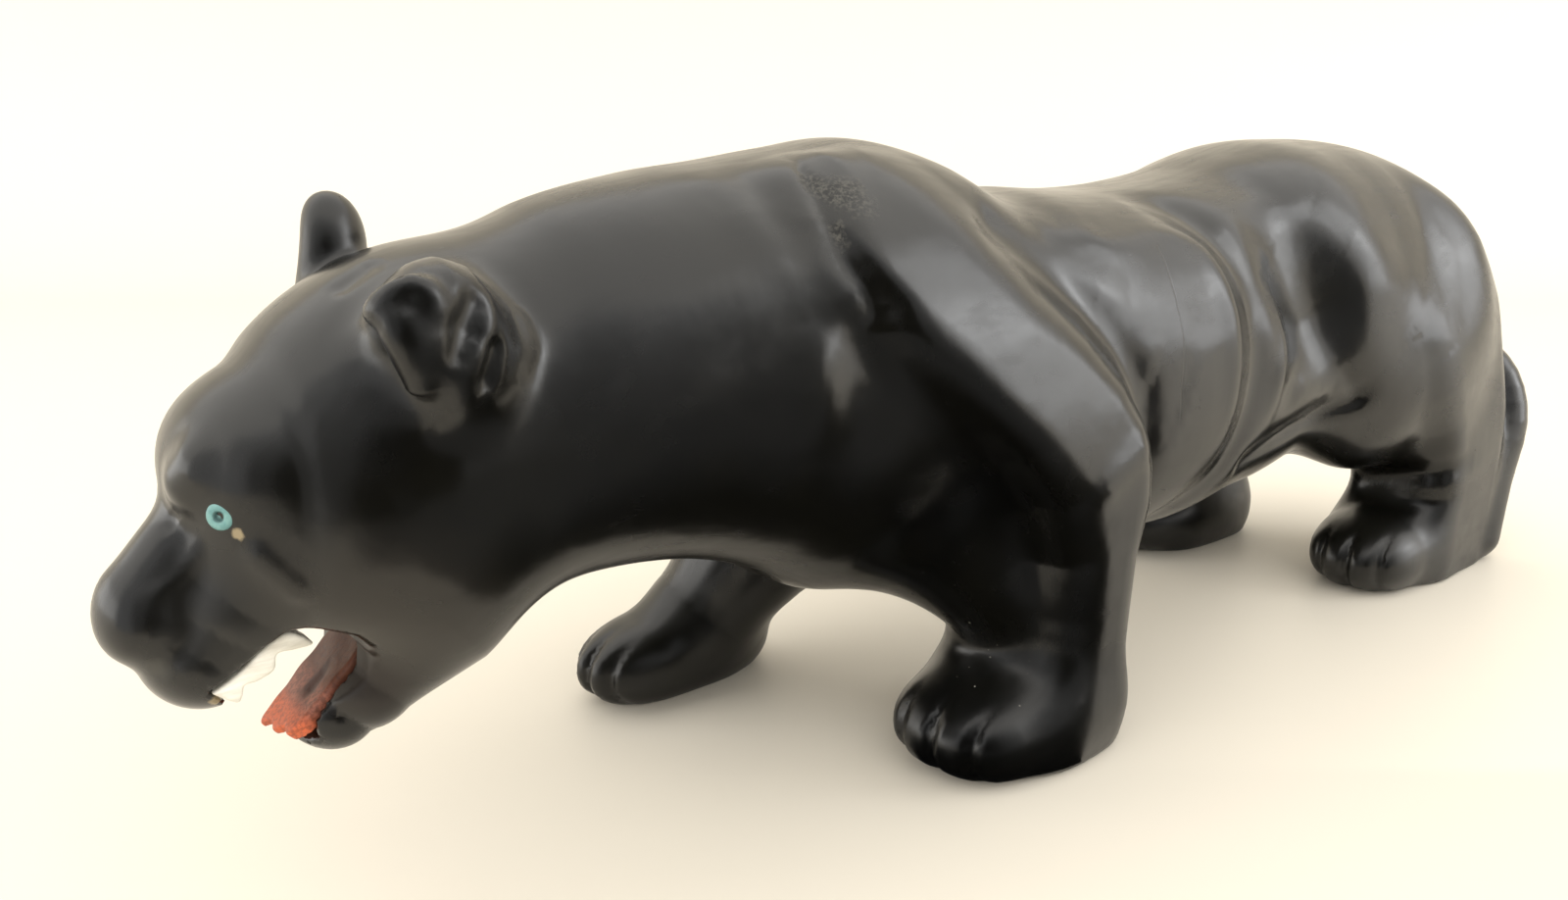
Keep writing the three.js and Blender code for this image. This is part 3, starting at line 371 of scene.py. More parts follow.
# %% Ears
EAR = [
    (-77.6, 67), (-75.8, 69.2), (-73, 70.7), (-70.6, 71), (-68, 69.9), (-66.2, 67.6),
    (-64.8, 64.8), (-64.2, 62), (-65.4, 59.4), (-67.4, 57.3), (-70, 56.5), (-72, 57),
    (-73.4, 60.2), (-75, 63), (-77, 65.2),
]
left_ear_ball = ellipsoid((-70.4, -16.2, 64.4), (8.2, 5.3, 7.8), 0, 22)
left_ear = Shape(
    lambda x, y, z: cut(left_ear_ball.distance(x, y, z), to_outline(x, z, EAR), 3),
    (-79, -22, 56),
    (-63, -10, 72),
)
left_ear_hollow = limb([(-69.3, -21.3, 67.0, 0.9), (-70.4, -22.0, 65.2, 1.3), (-71.4, -22.2, 63.2, 0.7)])
left_ear_dot = limb([(-77.4, -18.0, 66.7, 0.6), (-77.2, -18.3, 66.6, 0.65)])
left_ear_curl = limb(bend([
    (-76.8, -18.7, 67.9, 0.5), (-75.8, -19.7, 68.7, 0.8), (-74.6, -20.3, 69.0, 0.95),
    (-73.6, -20.8, 68.2, 1.0), (-73.4, -20.9, 67.1, 0.8),
]))
left_ear_flap = limb(bend([
    (-76.6, -19.4, 67.0, 0.7), (-76.0, -20.2, 65.2, 1.2), (-75.4, -20.3, 63.0, 1.25),
    (-74.8, -19.9, 60.6, 0.8),
]))
right_ear = ellipsoid((-69.9, 13.8, 67.8), (4.4, 4.8, 7), -12, -20)
right_ear_hollow = ellipsoid((-75.4, 15.4, 68.4), (3, 4.4, 5.6), -12, -30)

# %% [markdown]
# ## Legs
# The left foreleg and both hind legs keep the flat faces of the block, with rounded edges. The
# right foreleg reaches forward, so it is a row of balls. Outlines are x, z. A face is a table of
# z and how far out it stands.

# %% Forequarters
LEFT_ARM = [
    (-25, 77.5), (-28, 71.5), (-26.5, 64), (-20.5, 57), (-14, 51), (-6, 43), (0, 36), (3.2, 28),
    (3.8, 20), (3, 10), (3.5, -6), (15, -6), (17.4, 0), (17.7, 6), (17.3, 12), (17.3, 27), (19, 34),
    (18.6, 40), (17, 45.5), (13.5, 51), (8, 56.5), (0.5, 62), (-5, 67.5), (-10, 73.5), (-15, 78.6),
    (-21, 79.5),
]
RIGHT_ARM = [
    (-24, 77), (-27, 70), (-25.5, 64), (-22, 56), (-17, 48), (-13, 40), (-8, 34), (2, 33),
    (10, 36), (14, 43), (11, 51), (6, 56.5), (-1, 62), (-6, 67.5), (-11, 73), (-16, 77.6),
    (-21, 79),
]
ARM_FACE = np.array([
    (-6, 27.5), (0, 28.6), (8, 30.2), (20, 30.9), (32, 31.5), (40, 31.6), (46, 30.8), (52, 29.4),
    (60, 26.5), (67, 22.4), (73, 17.0), (78, 10.5), (84, 1),
])
left_breast = limb([(-5, -12, 32, 9), (7, -17, 19, 7.8)])
left_arm = plate(LEFT_ARM, -1, 8.5, 0, 5.5, ARM_FACE)
right_arm = plate(RIGHT_ARM, 1, 10, 0.4, 4, ARM_FACE)
right_forearm = limb([(-1, 20, 37, 12), (-5, 20.6, 22, 10.8), (-14.5, 24, 10.5, 7.8)])
left_forepaw = paw((3.6, -19), 15.7, 10.8, 12.5, 6)
right_forepaw = paw((-18.8, 25.2), 16.4, 7.4, 12, 3)

# %% Hindquarters
SHANK = [
    (99, 46), (101, 36), (104.5, 28), (106.2, 20), (106, 8), (106, -6), (129, -6), (129.6, 6),
    (130.6, 18), (130.6, 30), (128.8, 42), (125.5, 52), (118, 61), (106, 62),
]
RIGHT_SHANK_FORWARD = 19
SHANK_FACE = np.array([
    (-6, 28.8), (0, 29.4), (20, 30), (30, 29.6), (40, 28.2), (50, 26), (60, 21), (66, 16),
])
haunch_ball = ellipsoid((101.6, -15.4, 46.2), (25.6, 15, 26.4), -62)
HAUNCH_LEAN = 7.5


def left_haunch_distance(x, y, z):
    """The ball leans in above the knee: it is read further out the higher the point is."""
    lean = ease((118 - x) / 18) * ease((x - 74) / 18) * ease((z - 34) / 32)
    return haunch_ball.distance(x, y - HAUNCH_LEAN * lean, z)


left_haunch = Shape(left_haunch_distance, haunch_ball.low, haunch_ball.high)
right_haunch = ellipsoid((97.6, 15.2, 46.2), (25.6, 14.6, 26), -60)
thigh_hollow = limb([(56, -25.8, 71, 6.5), (61.5, -27.8, 61.5, 8.2), (67, -28.4, 52, 7.4)])
left_shank = plate(SHANK, -1, 10.5, 0, 6, SHANK_FACE)
right_shank = plate([(x - RIGHT_SHANK_FORWARD, z) for x, z in SHANK], 1, 9.5, 0.6, 7, SHANK_FACE)
left_hindpaw = paw((107.8, -19.1), 18.2, 9.6, 13, 7)
right_hindpaw = paw((94.5, 18), 18.4, 10.5, 12.5, -6)
tail = limb(bend([
    (127, -5, 51, 5.5), (133, -11, 42.5, 5), (136.3, -17.2, 37.2, 4.7), (136.7, -22.6, 32.3, 4.6),
    (135.2, -25.3, 25, 4.8), (131.9, -26.2, 15, 4.1), (129.6, -26.8, 4, 3.7),
], 3))

# %% The order of carving
# each shape, whether it is added or taken away, and the size of the fillet
CARVING = [
    (left_brow_bump, "join", 2.5),
    (left_ear, "join", 5.5),
    (left_ear_hollow, "cut", 2.0),
    (left_ear_dot, "join", 0.5),
    (left_ear_curl, "join", 1.4),
    (left_ear_flap, "join", 2.8),
    (right_ear, "join", 2.2),
    (right_ear_hollow, "cut", 4),
    (left_breast, "join", 6),
    (left_arm, "join", 5),
    (left_forepaw, "join", 7),
    (right_arm, "join", 3.5),
    (right_forearm, "join", 4),
    (right_forepaw, "join", 4.5),
    (left_haunch, "join", 7),
    (thigh_hollow, "cut", 6),
    (left_shank, "join", 6),
    (left_hindpaw, "join", 4.5),
    (right_haunch, "join", 7),
    (right_shank, "join", 6),
    (right_hindpaw, "join", 4.5),
    (tail, "join", 3),
]
print(len(CARVING), "shapes on the trunk and the head")

# %% [markdown]
# ## Creases and relief
# On the stone these are cuts of a round file, and ridges left between two cuts. Bump in the
# finish would not move the highlights' edges, so they are added to the field: at a distance q
# from the line, in half widths, the surface sinks by depth * exp(-q^2). A negative depth raises
# a ridge.

# %% Creases that run through the side view
# line (x, z), half width, depth, sides
CREASES = [
    ([(-1, 69.5), (7, 63), (14, 57), (20, 50), (23, 43), (23.5, 32), (22.5, 24)], 3.0, 0.7, "L"),
    ([(-3, 69.5), (5, 63), (11, 57), (16.5, 50), (18.5, 43), (17, 34)], 2.2, 1.2, "R"),
    ([(-23, 78), (-25.8, 73), (-26, 68), (-23.5, 62.5)], 2.0, 0.8, "L"),
    ([(-22, 78), (-24.5, 73), (-25, 68), (-23, 62.5)], 1.6, 1.0, "R"),
    ([(-34, 74), (-29.5, 66), (-25.5, 58), (-25, 49)], 4.4, 0.45, "LR"),
    ([(40, 71), (47, 62), (50, 52), (50, 42), (46, 32), (38, 24)], 4.2, 1.3, "LR"),
    ([(64, 71), (69, 60), (72, 50), (76, 41)], 5.5, 0.5, "LR"),
    ([(55, 31), (64, 33.6), (73, 35.6), (81, 37.6)], 2.2, 0.7, "LR"),
]
SMOOTH_CREASES = [(bend(line), wide, deep, sides) for line, wide, deep, sides in CREASES]


def add_creases(d, p):
    """The field with the creases, which fade out over the spine."""
    x, y, z = p.T
    fade = ease((np.abs(y) - 5) / 8)
    for line, wide, deep, sides in SMOOTH_CREASES:
        xs, zs = line.T
        near = (x > min(xs) - 3 * wide) & (x < max(xs) + 3 * wide)
        near &= (z > min(zs) - 3 * wide) & (z < max(zs) + 3 * wide) & (fade > 0)
        if len(sides) == 1:
            near &= (y < 0) if sides == "L" else (y > 0)
        rows = np.flatnonzero(near)
        if len(rows):
            q = to_line(p[rows][:, [0, 2]], line)[0] / wide
            d[rows] += deep * fade[rows] * np.exp(-q * q)


# %% Relief along lines on the surface
# line of x, y, z, half width, depth; those of the head are carved on both sides
HEAD_RELIEF = {
    "bridge edge": ([
        (-89.6, -5.6, 46.6), (-91.2, -5.0, 43.7), (-93.2, -4.8, 42.1), (-95.1, -4.7, 41.3),
    ], 0.9, -0.22),
    "eye notch": ([(-91.5, -2.6, 48.2), (-91.1, -3.6, 47.5)], 1.2, 0.15),
    "cheek ridge": ([
        (-87.4, -9.6, 46.4), (-86.1, -10.6, 44.4), (-84.1, -11.5, 41.9), (-82.5, -11.8, 40.2),
    ], 1.4, -0.4),
}
LEFT_RELIEF = {
    "ear slit": ([
        (-67.3, -20.4, 64.0), (-67.6, -20.5, 62.6), (-68.2, -20.4, 60.8), (-68.9, -20.1, 58.9),
    ], 0.9, 1.0),
    "behind the ear": ([
        (-63.0, -13.6, 65), (-62.5, -15, 63), (-63.1, -16.2, 61), (-65, -17.2, 59.3),
    ], 1.2, -0.7),
    "right ear's foot": ([(-70.3, -3.3, 69.2), (-73.5, -4.3, 67.7), (-76.2, -4.6, 66.3)], 1.4, 0.3),
    "neck fold": ([
        (-36, -6, 75), (-34.6, -11, 73.4), (-34, -15.1, 70.1), (-31.5, -17.5, 67), (-29.8, -19.2, 63.9),
        (-29, -20.4, 60.9), (-30.5, -21.4, 57.6), (-31, -21.7, 52.9), (-31, -21, 46),
    ], 3.2, -0.6),
    "raw groove": ([
        (-23.3, -7.3, 77), (-25.1, -13.3, 74.2), (-26.1, -16.8, 71.3), (-25.5, -19.6, 68.2),
    ], 0.9, 0.3),
    "elbow ridge": ([(15, -31, 44), (13, -31.4, 41.9), (8, -31.5, 39.2), (4.2, -31.2, 36.7)], 2.2, -0.4),
    "back ridge": ([
        (10.6, -12.8, 71), (13.1, -17, 67.8), (17.8, -17.9, 66.5), (21.3, -18.9, 65.3),
        (27.1, -18.5, 65.6), (33.4, -17.8, 66.2), (40.4, -19.5, 64.5), (42.1, -23.1, 59),
        (43, -25, 50.9), (43.4, -25.1, 41), (42.5, -23.6, 33.6),
    ], 2.6, -0.5),
    "flank hollow": ([(15, -21.5, 60), (24, -24, 58), (33, -24, 58), (38, -24.4, 51)], 6, 0.3),
    "lower flank hollow": ([(22, -25, 48), (32, -25.4, 44)], 7, 0.25),
    "thigh ridge": ([
        (56.3, -19.6, 67), (58, -22.6, 58), (59.4, -23.5, 49), (58, -23.7, 44), (57, -23.3, 37),
    ], 2.0, -0.45),
    "groin flap": ([(63, -22, 41), (69, -23, 39.5), (75, -24, 39)], 2.6, -0.4),
    "knee fold": ([
        (75.5, -24, 43), (77.1, -23.8, 41.4), (81, -24.2, 37.3), (77.7, -22.5, 35.6),
        (73.4, -21.3, 34.7), (65.2, -20.4, 33.4), (60.5, -20, 32.3),
    ], 1.5, 0.4),
    "haunch crest": ([
        (71.3, -18.5, 68.2), (76.3, -21.9, 63.5), (82.5, -24.7, 58.9), (93.7, -26.9, 52.3),
        (98.5, -30.5, 43.2),
    ], 6.5, -0.7),
    "hock": ([(106.3, -14, 18), (106, -21.7, 19.2), (108.2, -29, 21.6), (115, -30, 22)], 2.2, 0.6),
    "under the hock": ([(104.5, -18, 13.5), (106.3, -25.6, 15), (113, -30, 16.5)], 1.8, 0.4),
}
MIRROR = np.array([1, -1, 1])
FAR_SIDE_DEPTH = 0.4
RELIEF = [(bend(line), wide, deep) for line, wide, deep in LEFT_RELIEF.values()]
for line, wide, deep in HEAD_RELIEF.values():
    RELIEF.append((bend(line), wide, deep))
    RELIEF.append((bend(line) * MIRROR, wide, deep * FAR_SIDE_DEPTH))


def add_relief(d, p):
    """The field with the relief, which is shallow at both ends of each line."""
    for line, wide, deep in RELIEF:
        low, high = np.min(line, 0) - 3 * wide, np.max(line, 0) + 3 * wide
        rows = np.flatnonzero(np.all((p > low) & (p < high), axis=1))
        if len(rows):
            far, place = to_line(p[rows], line)
            ends = np.clip(4 * np.minimum(place, 1 - place) + 0.15, 0, 1)
            d[rows] += deep * ends * np.exp(-((far / wide) ** 2))


print(len(SMOOTH_CREASES), "creases and", len(RELIEF), "lines of relief")

# %% [markdown]
# ## Mouth
# The mouth is sawn right through from side to side, and a trough for the tongue is cut into the
# lower jaw. Both are taken from the field with almost sharp edges.

# %% Mouth
MOUTH = [
    (-89, 12), (-89.2, 29.6), (-91, 32.1), (-88.4, 33.6), (-86, 35.5), (-84, 36.7), (-81.9, 36.7),
    (-78.9, 35.7), (-77.4, 34.1), (-77.5, 31.9), (-79.1, 30), (-83.7, 25.8), (-85, 22),
    (-86.5, 12),
]
# the tongue's upper face runs from the throat to the tip, as x, z
TONGUE_ROOT = np.array([-76.9, 31.0])
TONGUE_TIP = np.array([-84.4, 23.9])
TONGUE_HALF_WIDTH = 4.6
TONGUE_THICK = 2.4
TONGUE_LONG = float(np.linalg.norm(TONGUE_TIP - TONGUE_ROOT))
TONGUE_WAY = (TONGUE_TIP - TONGUE_ROOT) / TONGUE_LONG
TONGUE_UP = np.array([TONGUE_WAY[1], -TONGUE_WAY[0]])


def on_tongue(p):
    """Places along the tongue, across it and above it."""
    q = p[:, [0, 2]] - TONGUE_ROOT
    return q @ TONGUE_WAY, p[:, 1], q @ TONGUE_UP


def tongue_bed(p):
    """A trough in the lower jaw, open above and at the lips, a little wider than the tongue. The
    rims beside it are lower on the far side."""
    s, w, t = on_tongue(p)
    beyond = s - TONGUE_LONG
    trough = [np.abs(w) - TONGUE_HALF_WIDTH - 0.4, -s - 1.5, -t - TONGUE_THICK - 0.3, t - 1.8, beyond - 2.7]
    slope = 0.8 * np.clip(1 - s, 0, 2.2)
    far = np.clip(w + TONGUE_HALF_WIDTH, 0, 12) * 0.22
    rims = [-s - 1.2 - far, -t - 0.5 - far + slope, t - 1.8, beyond - 4]
    return np.minimum(np.max(trough, axis=0), np.max(rims, axis=0))


# %% The whole stone
NECK_BEGINS, NECK_FILLET = -45, 7.5
MOUTH_BACK, MOUTH_TOP = -70, 45
SAWN_EDGE, BED_EDGE, SOLE_EDGE = 0.5, 0.4, 0.8  # how far each sharp edge is rounded


def stone(p):
    """The whole carving at many points: the trunk and the head, then the shapes in the order of
    carving, creases, relief, the mouth and the flat soles."""
    x, y, z = p.T
    d = trunk(x, y, z)
    rows = np.flatnonzero(x < NECK_BEGINS)
    if len(rows):
        d[rows] = join(d[rows], head_field(p[rows]), NECK_FILLET)
    for shape, how, k in CARVING:
        change(d, p, shape, how, k)
    add_creases(d, p)
    add_relief(d, p)
    rows = np.flatnonzero((x < MOUTH_BACK) & (z < MOUTH_TOP))
    if len(rows):
        d[rows] = cut(d[rows], -to_outline(x[rows], z[rows], MOUTH), SAWN_EDGE)
        d[rows] = cut(d[rows], -tongue_bed(p[rows]), BED_EDGE)
    return cut(d, -z, SOLE_EDGE)


# %% [markdown]
# ## From field to mesh
# Remeshing with voxels would round the small forms. A surface net puts one point in each cell
# that the surface crosses, and the points are then evened out and set on the surface again. The
# grid is drawn closer together round the head, where the forms are small.

# %% Grid
HEAD_STEP = 0.58
BODY_STEP = 1.05
CROSS_STEP = 0.92
GRID_FRONT, GRID_BACK, GRID_TOP = -101.0, 145.0, 81.0
BLOCK = 4  # nodes a side
NEAR_SURFACE = 6.5  # a block is worked out in full if the field at its middle is less than this
ACROSS = int(2 * 36 / CROSS_STEP)
UPWARD = int(83 / CROSS_STEP)


def head_to_body(x):
    """0 along the head, 1 along the body."""
    return ease((x + 54) / 14)


def half_wide(x):
    """How far the grid reaches to either side."""
    return 24 + 12 * head_to_body(x)


def lowest(x):
    """Where the grid begins below: under the jaw, or under the soles."""
    return 15 - 17 * head_to_body(x)


def grid_x():
    """Steps that grow from the head's to the body's."""
    xs = [GRID_FRONT]
    while xs[-1] < GRID_BACK:
        xs.append(xs[-1] + HEAD_STEP + (BODY_STEP - HEAD_STEP) * head_to_body(xs[-1]))
    return np.array(xs)


GRID_X = grid_x()


def place(i, j, k):
    """The point at any place between the grid's nodes."""
    x = np.interp(i, np.arange(len(GRID_X)), GRID_X)
    y = half_wide(x) * (2 * j / (ACROSS - 1) - 1)
    z = lowest(x) + (GRID_TOP - lowest(x)) * k / (UPWARD - 1)
    return np.stack([x, y, z], 1)


def sample_grid():
    """The field at every node near the surface, and its sign elsewhere, taken from the middle of
    each block of nodes."""
    shape = np.array([len(GRID_X), ACROSS, UPWARD])
    blocks = -(-shape // BLOCK)
    b = np.indices(blocks).reshape(3, -1).T
    middle = np.minimum(b * BLOCK + (BLOCK - 1) / 2, shape - 1)
    centre = stone(place(*middle.T)).reshape(blocks)
    value = np.repeat(np.repeat(np.repeat(centre, BLOCK, 0), BLOCK, 1), BLOCK, 2)
    value = value[: shape[0], : shape[1], : shape[2]]
    near = np.argwhere(np.abs(value) < NEAR_SURFACE)
    value[tuple(near.T)] = stone(place(*near.T.astype(float)))
    return value


# %% Surface net
def surface_net(value, spot):
    """One point in each cell that the surface crosses, at the mean of its crossings, and one quad
    round each grid edge that the surface crosses."""
    inside = value < 0
    corners = [(a, b, c) for a in (0, 1) for b in (0, 1) for c in (0, 1)]
    n = np.array(value.shape) - 1
    view = lambda array, c: array[c[0] : c[0] + n[0], c[1] : c[1] + n[1], c[2] : c[2] + n[2]]
    count = sum(view(inside, c).astype(np.int8) for c in corners)
    cells = np.argwhere((count > 0) & (count < 8))
    total, hits = np.zeros((len(cells), 3)), np.zeros(len(cells))
    for c in corners:
        for axis in range(3):
            if c[axis]:
                continue
            e = list(c)
            e[axis] = 1
            v0 = value[tuple((cells + c).T)]
            v1 = value[tuple((cells + e).T)]
            hit = (v0 < 0) != (v1 < 0)
            t = np.where(hit, v0 / np.where(hit, v0 - v1, 1), 0)
            at = np.tile(np.array(c, float), (len(cells), 1))
            at[:, axis] = t
            total += at * hit[:, None]
            hits += hit
    points = spot(*(cells + total / hits[:, None]).T)
    number = np.full(n, -1)
    number[tuple(cells.T)] = np.arange(len(cells))
    quads = []
    for axis in range(3):
        step = np.eye(3, dtype=int)
        u, v = step[(axis + 1) % 3], step[(axis + 2) % 3]
        low = [slice(0, m) for m in n]
        a = inside[tuple(low)]
        high = [slice(1, m + 1) if i == axis else slice(0, m) for i, m in enumerate(n)]
        b = inside[tuple(high)]
        at = np.argwhere(a != b)
        at = at[np.all(at[:, [(axis + 1) % 3, (axis + 2) % 3]] > 0, axis=1)]
        ring = [at - u - v, at - v, at, at - u]
        q = np.stack([number[tuple(r.T)] for r in ring], 1)
        out = ~inside[tuple(at.T)]
        q[out] = q[out][:, ::-1]
        quads.append(q)
    return points, np.concatenate(quads)


# %% Settling
STAY = 0.35  # the share of a point's own place that it keeps when the points are evened out


def rise(p, e, field):
    """The field's slope along each axis, from two samples a distance e either side."""
    return np.stack([(field(p + step) - field(p - step)) / (2 * e) for step in e * np.eye(3)], 1)


def settle(p, quads, rounds, field):
    """Even out the points: each moves most of the way to the mean of its neighbours, then back to
    the surface along the slope by value / slope^2."""
    edges = np.concatenate([quads[:, [0, 1]], quads[:, [1, 2]], quads[:, [2, 3]], quads[:, [3, 0]]])
    edges = np.unique(np.sort(edges, 1), axis=0)
    ends = np.concatenate([edges, edges[:, ::-1]])
    count = np.bincount(ends[:, 0], minlength=len(p))[:, None]
    for turn in range(rounds):
        mean = np.stack([np.bincount(ends[:, 0], p[ends[:, 1], c], len(p)) for c in range(3)], 1)
        p = STAY * p + (1 - STAY) * mean / count
        for again in range(2):
            g = rise(p, 0.05, field)
            v = field(p)
            move = np.clip(v / np.maximum((g * g).sum(1), 0.15), -0.5, 0.5)
            p = p - g * move[:, None]
    return p


# %% [markdown]
# ## The body
# The mesh carries the field's own slope as its normals, so a polished surface mirrors the room
# without the faces of the grid.


# %% The body's mesh
def mesh_object(name, points, faces, normals=None):
    """A mesh object at the origin from points in the carver's frame, in millimetres."""
    mesh = bpy.data.meshes.new(name)
    mesh.from_pydata((points + SHIFT) * MM, [], faces.tolist() if hasattr(faces, "tolist") else faces)
    mesh.polygons.foreach_set("use_smooth", np.ones(len(mesh.polygons), bool))
    mesh.update()
    if normals is not None:
        mesh.normals_split_custom_set_from_vertices(normals)
    made = bpy.data.objects.new(name, mesh)
    bpy.context.collection.objects.link(made)
    return made


def unit(vectors):
    """Vectors made one long."""
    return vectors / np.linalg.norm(vectors, axis=1)[:, None]


points, quads = surface_net(sample_grid(), place)
points = settle(points, quads, 3, stone)
body = mesh_object("stone_body", points, quads, unit(rise(points, 0.2, stone)))
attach(body, "root")
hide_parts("body")
print("body:", len(points), "points,", 2 * len(quads), "triangles")

# %% [markdown]
# ## Teeth
# A strip of shell is sawn to a zigzag and glued under each lip. It is a thin plate, so a field
# with the zigzag as its side outline gives it slightly worn edges.


# %% Small pieces from fields
def small_piece(name, node, field, low, high, step, rounds=3):
    """A piece whose surface is found on an even grid between two corners."""
    low = np.asarray(low, float)
    counts = np.ceil((np.asarray(high) - low) / step).astype(int) + 1
    spot = lambda i, j, k: low + np.stack([i, j, k], 1) * step
    nodes = np.indices(counts).reshape(3, -1)
    value = field(spot(*nodes)).reshape(counts)
    p, q = surface_net(value, spot)
    p = settle(p, q, rounds, field)
    g = rise(p, 0.05, field)
    made = mesh_object(name, p, q, unit(g))
    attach(made, "root")
    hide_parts(node)
    print(name, len(p), "points")
    return made


# %% Teeth
# the zigzag, as x, z
TEETH = [
    (-90.9, 31.8), (-88.3, 33.3), (-86, 35.1), (-83.7, 36.0), (-81.5, 34.3), (-83.3, 34.1),
    (-84.9, 34.1), (-85.3, 32.6), (-86.9, 31.9), (-88.0, 31.8), (-88.3, 30.8), (-88.9, 30.3),
]
TOOTH_FACE, TOOTH_WIDE = 7.2, 2.6
TEETH_SMOOTH = [tuple(q) for q in bend(TEETH + TEETH[:1], 4)[:-1]]


def teeth_field(side):
    """The saw-toothed outline between two planes across the mouth, with rounded edges."""
    middle = side * (TOOTH_FACE - TOOTH_WIDE / 2)

    def distance(p):
        x, y, z = p.T
        thin = 0.25 * np.clip((33.5 - z) / 3, 0, 1)
        return cut(to_outline(x, z, TEETH_SMOOTH), np.abs(y - middle) - TOOTH_WIDE / 2 + thin, 0.5)

    return distance


teeth = [
    small_piece(
        "shell_" + node, node, teeth_field(side),
        (-91.8, min(side * 4.2, side * 7.6), 29.6), (-80.6, max(side * 4.2, side * 7.6), 36.9), 0.16,
    )
    for side, node in ((-1, "left_teeth"), (1, "right_teeth"))
]

# %% [markdown]
# ## Tongue
# A slab of coral lies on the lower jaw, with three lobes at its tip and a worn hollow along its
# middle. It is thinner toward the tip and lower on the far side.


# %% Tongue
def tongue_field(p):
    """A slab along the lower jaw: its tip has three lobes and its middle is scooped out."""
    s, w, t = on_tongue(p)
    half = TONGUE_HALF_WIDTH - 0.35 * np.clip((s - 6) / 3, 0, 1) + 0.12 * np.sin(1.7 * s)
    tip = TONGUE_LONG + 0.2 * w + 0.35 * np.cos(w * 2 * math.pi / 3.2) - 0.015 * w * w
    scoop = 0.3 * np.exp(-(((w + 1.3) / 0.9) ** 2)) * np.clip(s / 2 - 0.8, 0, 1) * np.clip(6.4 - s, 0, 1)
    top = 0.04 * np.sin(1.1 * s + 0.8 * w) - scoop - 0.09 * (w + 4.6)
    thin = 0.42 * np.clip((s - 4) / (TONGUE_LONG - 4), 0, 1)
    d = cut(np.abs(w) - half, s - tip, 0.8)
    d = cut(d, t - top, 0.6)
    return np.maximum(np.maximum(d, -s - 1.2), -t - TONGUE_THICK * (1 - thin))


tongue = small_piece(
    "coral_tongue", "tongue", tongue_field, (-86.1, -5.3, 21.0), (-73.7, 5.3, 33.0), 0.2
)

# %% [markdown]
# ## Eyes
# A bead is turned and drilled, so it is a profile carried round an axis. Its place is walked
# along the axis until it lies on the stone.

# %% Beads
EYE_AT = np.array([-88.8, 8.4, 48.8])
EYE_TURN, EYE_TILT = 46, 4
EYE_RADIUS, EYE_HOLE, EYE_LENGTH, EYE_PROUD = 1.3, 0.38, 1.8, 0.25
EYE_CENTRES = {}


def turned(profile, at, out, n=48):
    """A profile of radius and height, carried round an axis that leaves a place along out. A fan
    closes each pole."""
    across = np.cross(out, (0, 0, 1))
    across /= np.linalg.norm(across)
    up = np.cross(across, out)
    m = len(profile)
    angle = np.arange(n) * 2 * math.pi / n
    ring = np.cos(angle)[:, None] * across + np.sin(angle)[:, None] * up
    p = at + profile[None, :, :1] * ring[:, None, :] + profile[None, :, 1:] * out
    poles = at + profile[[0, -1], 1][:, None] * out
    i, j = np.meshgrid(np.arange(n), np.arange(m - 1), indexing="ij")
    i2 = (i + 1) % n
    sides = np.stack([i * m + j, i2 * m + j, i2 * m + j + 1, i * m + j + 1], -1).reshape(-1, 4)
    a, b = np.arange(n), (np.arange(n) + 1) % n
    front = np.stack([np.full(n, n * m), b * m, a * m], 1)
    back = np.stack([np.full(n, n * m + 1), a * m + m - 1, b * m + m - 1], 1)
    return np.concatenate([p.reshape(-1, 3), poles]), sides.tolist() + front.tolist() + back.tolist()


def bead(name, node, side):
    """A drilled bead that looks out of one eye."""
    turn, tilt = math.radians(EYE_TURN), math.radians(EYE_TILT)
    flat = math.cos(tilt)
    out = np.array([-math.sin(turn) * flat, side * math.cos(turn) * flat, math.sin(tilt)])
    at = EYE_AT * (1, side, 1)
    for again in range(30):
        at = at - out * stone(at[None])[0] * 0.8
    at = at + out * EYE_PROUD
    EYE_CENTRES[name] = tuple(map(float, at))
    print(name, "at", *EYE_CENTRES[name])
    r, h = EYE_RADIUS, EYE_HOLE
    profile = bend([
        (0.04, -0.24), (h - 0.06, -0.26), (h, -0.16), (h + 0.14, -0.02), (r * 0.6, 0.02),
        (r - 0.25, -0.03), (r - 0.06, -0.18), (r, -0.45), (r, -EYE_LENGTH), (0.04, -EYE_LENGTH),
    ])
    made = mesh_object(name, *turned(profile, at, out))
    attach(made, "root")
    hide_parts(node)
    return made


eyes = [bead("bead_left_eye", "left_eye", -1), bead("bead_right_eye", "right_eye", 1)]

# %% [markdown]
# ## Shader maths
# A finish is a sum of masks. Wiring them by hand hides the sum, so a value wraps its socket and
# an expression on values adds its Math nodes. Every other node comes from one method of it.

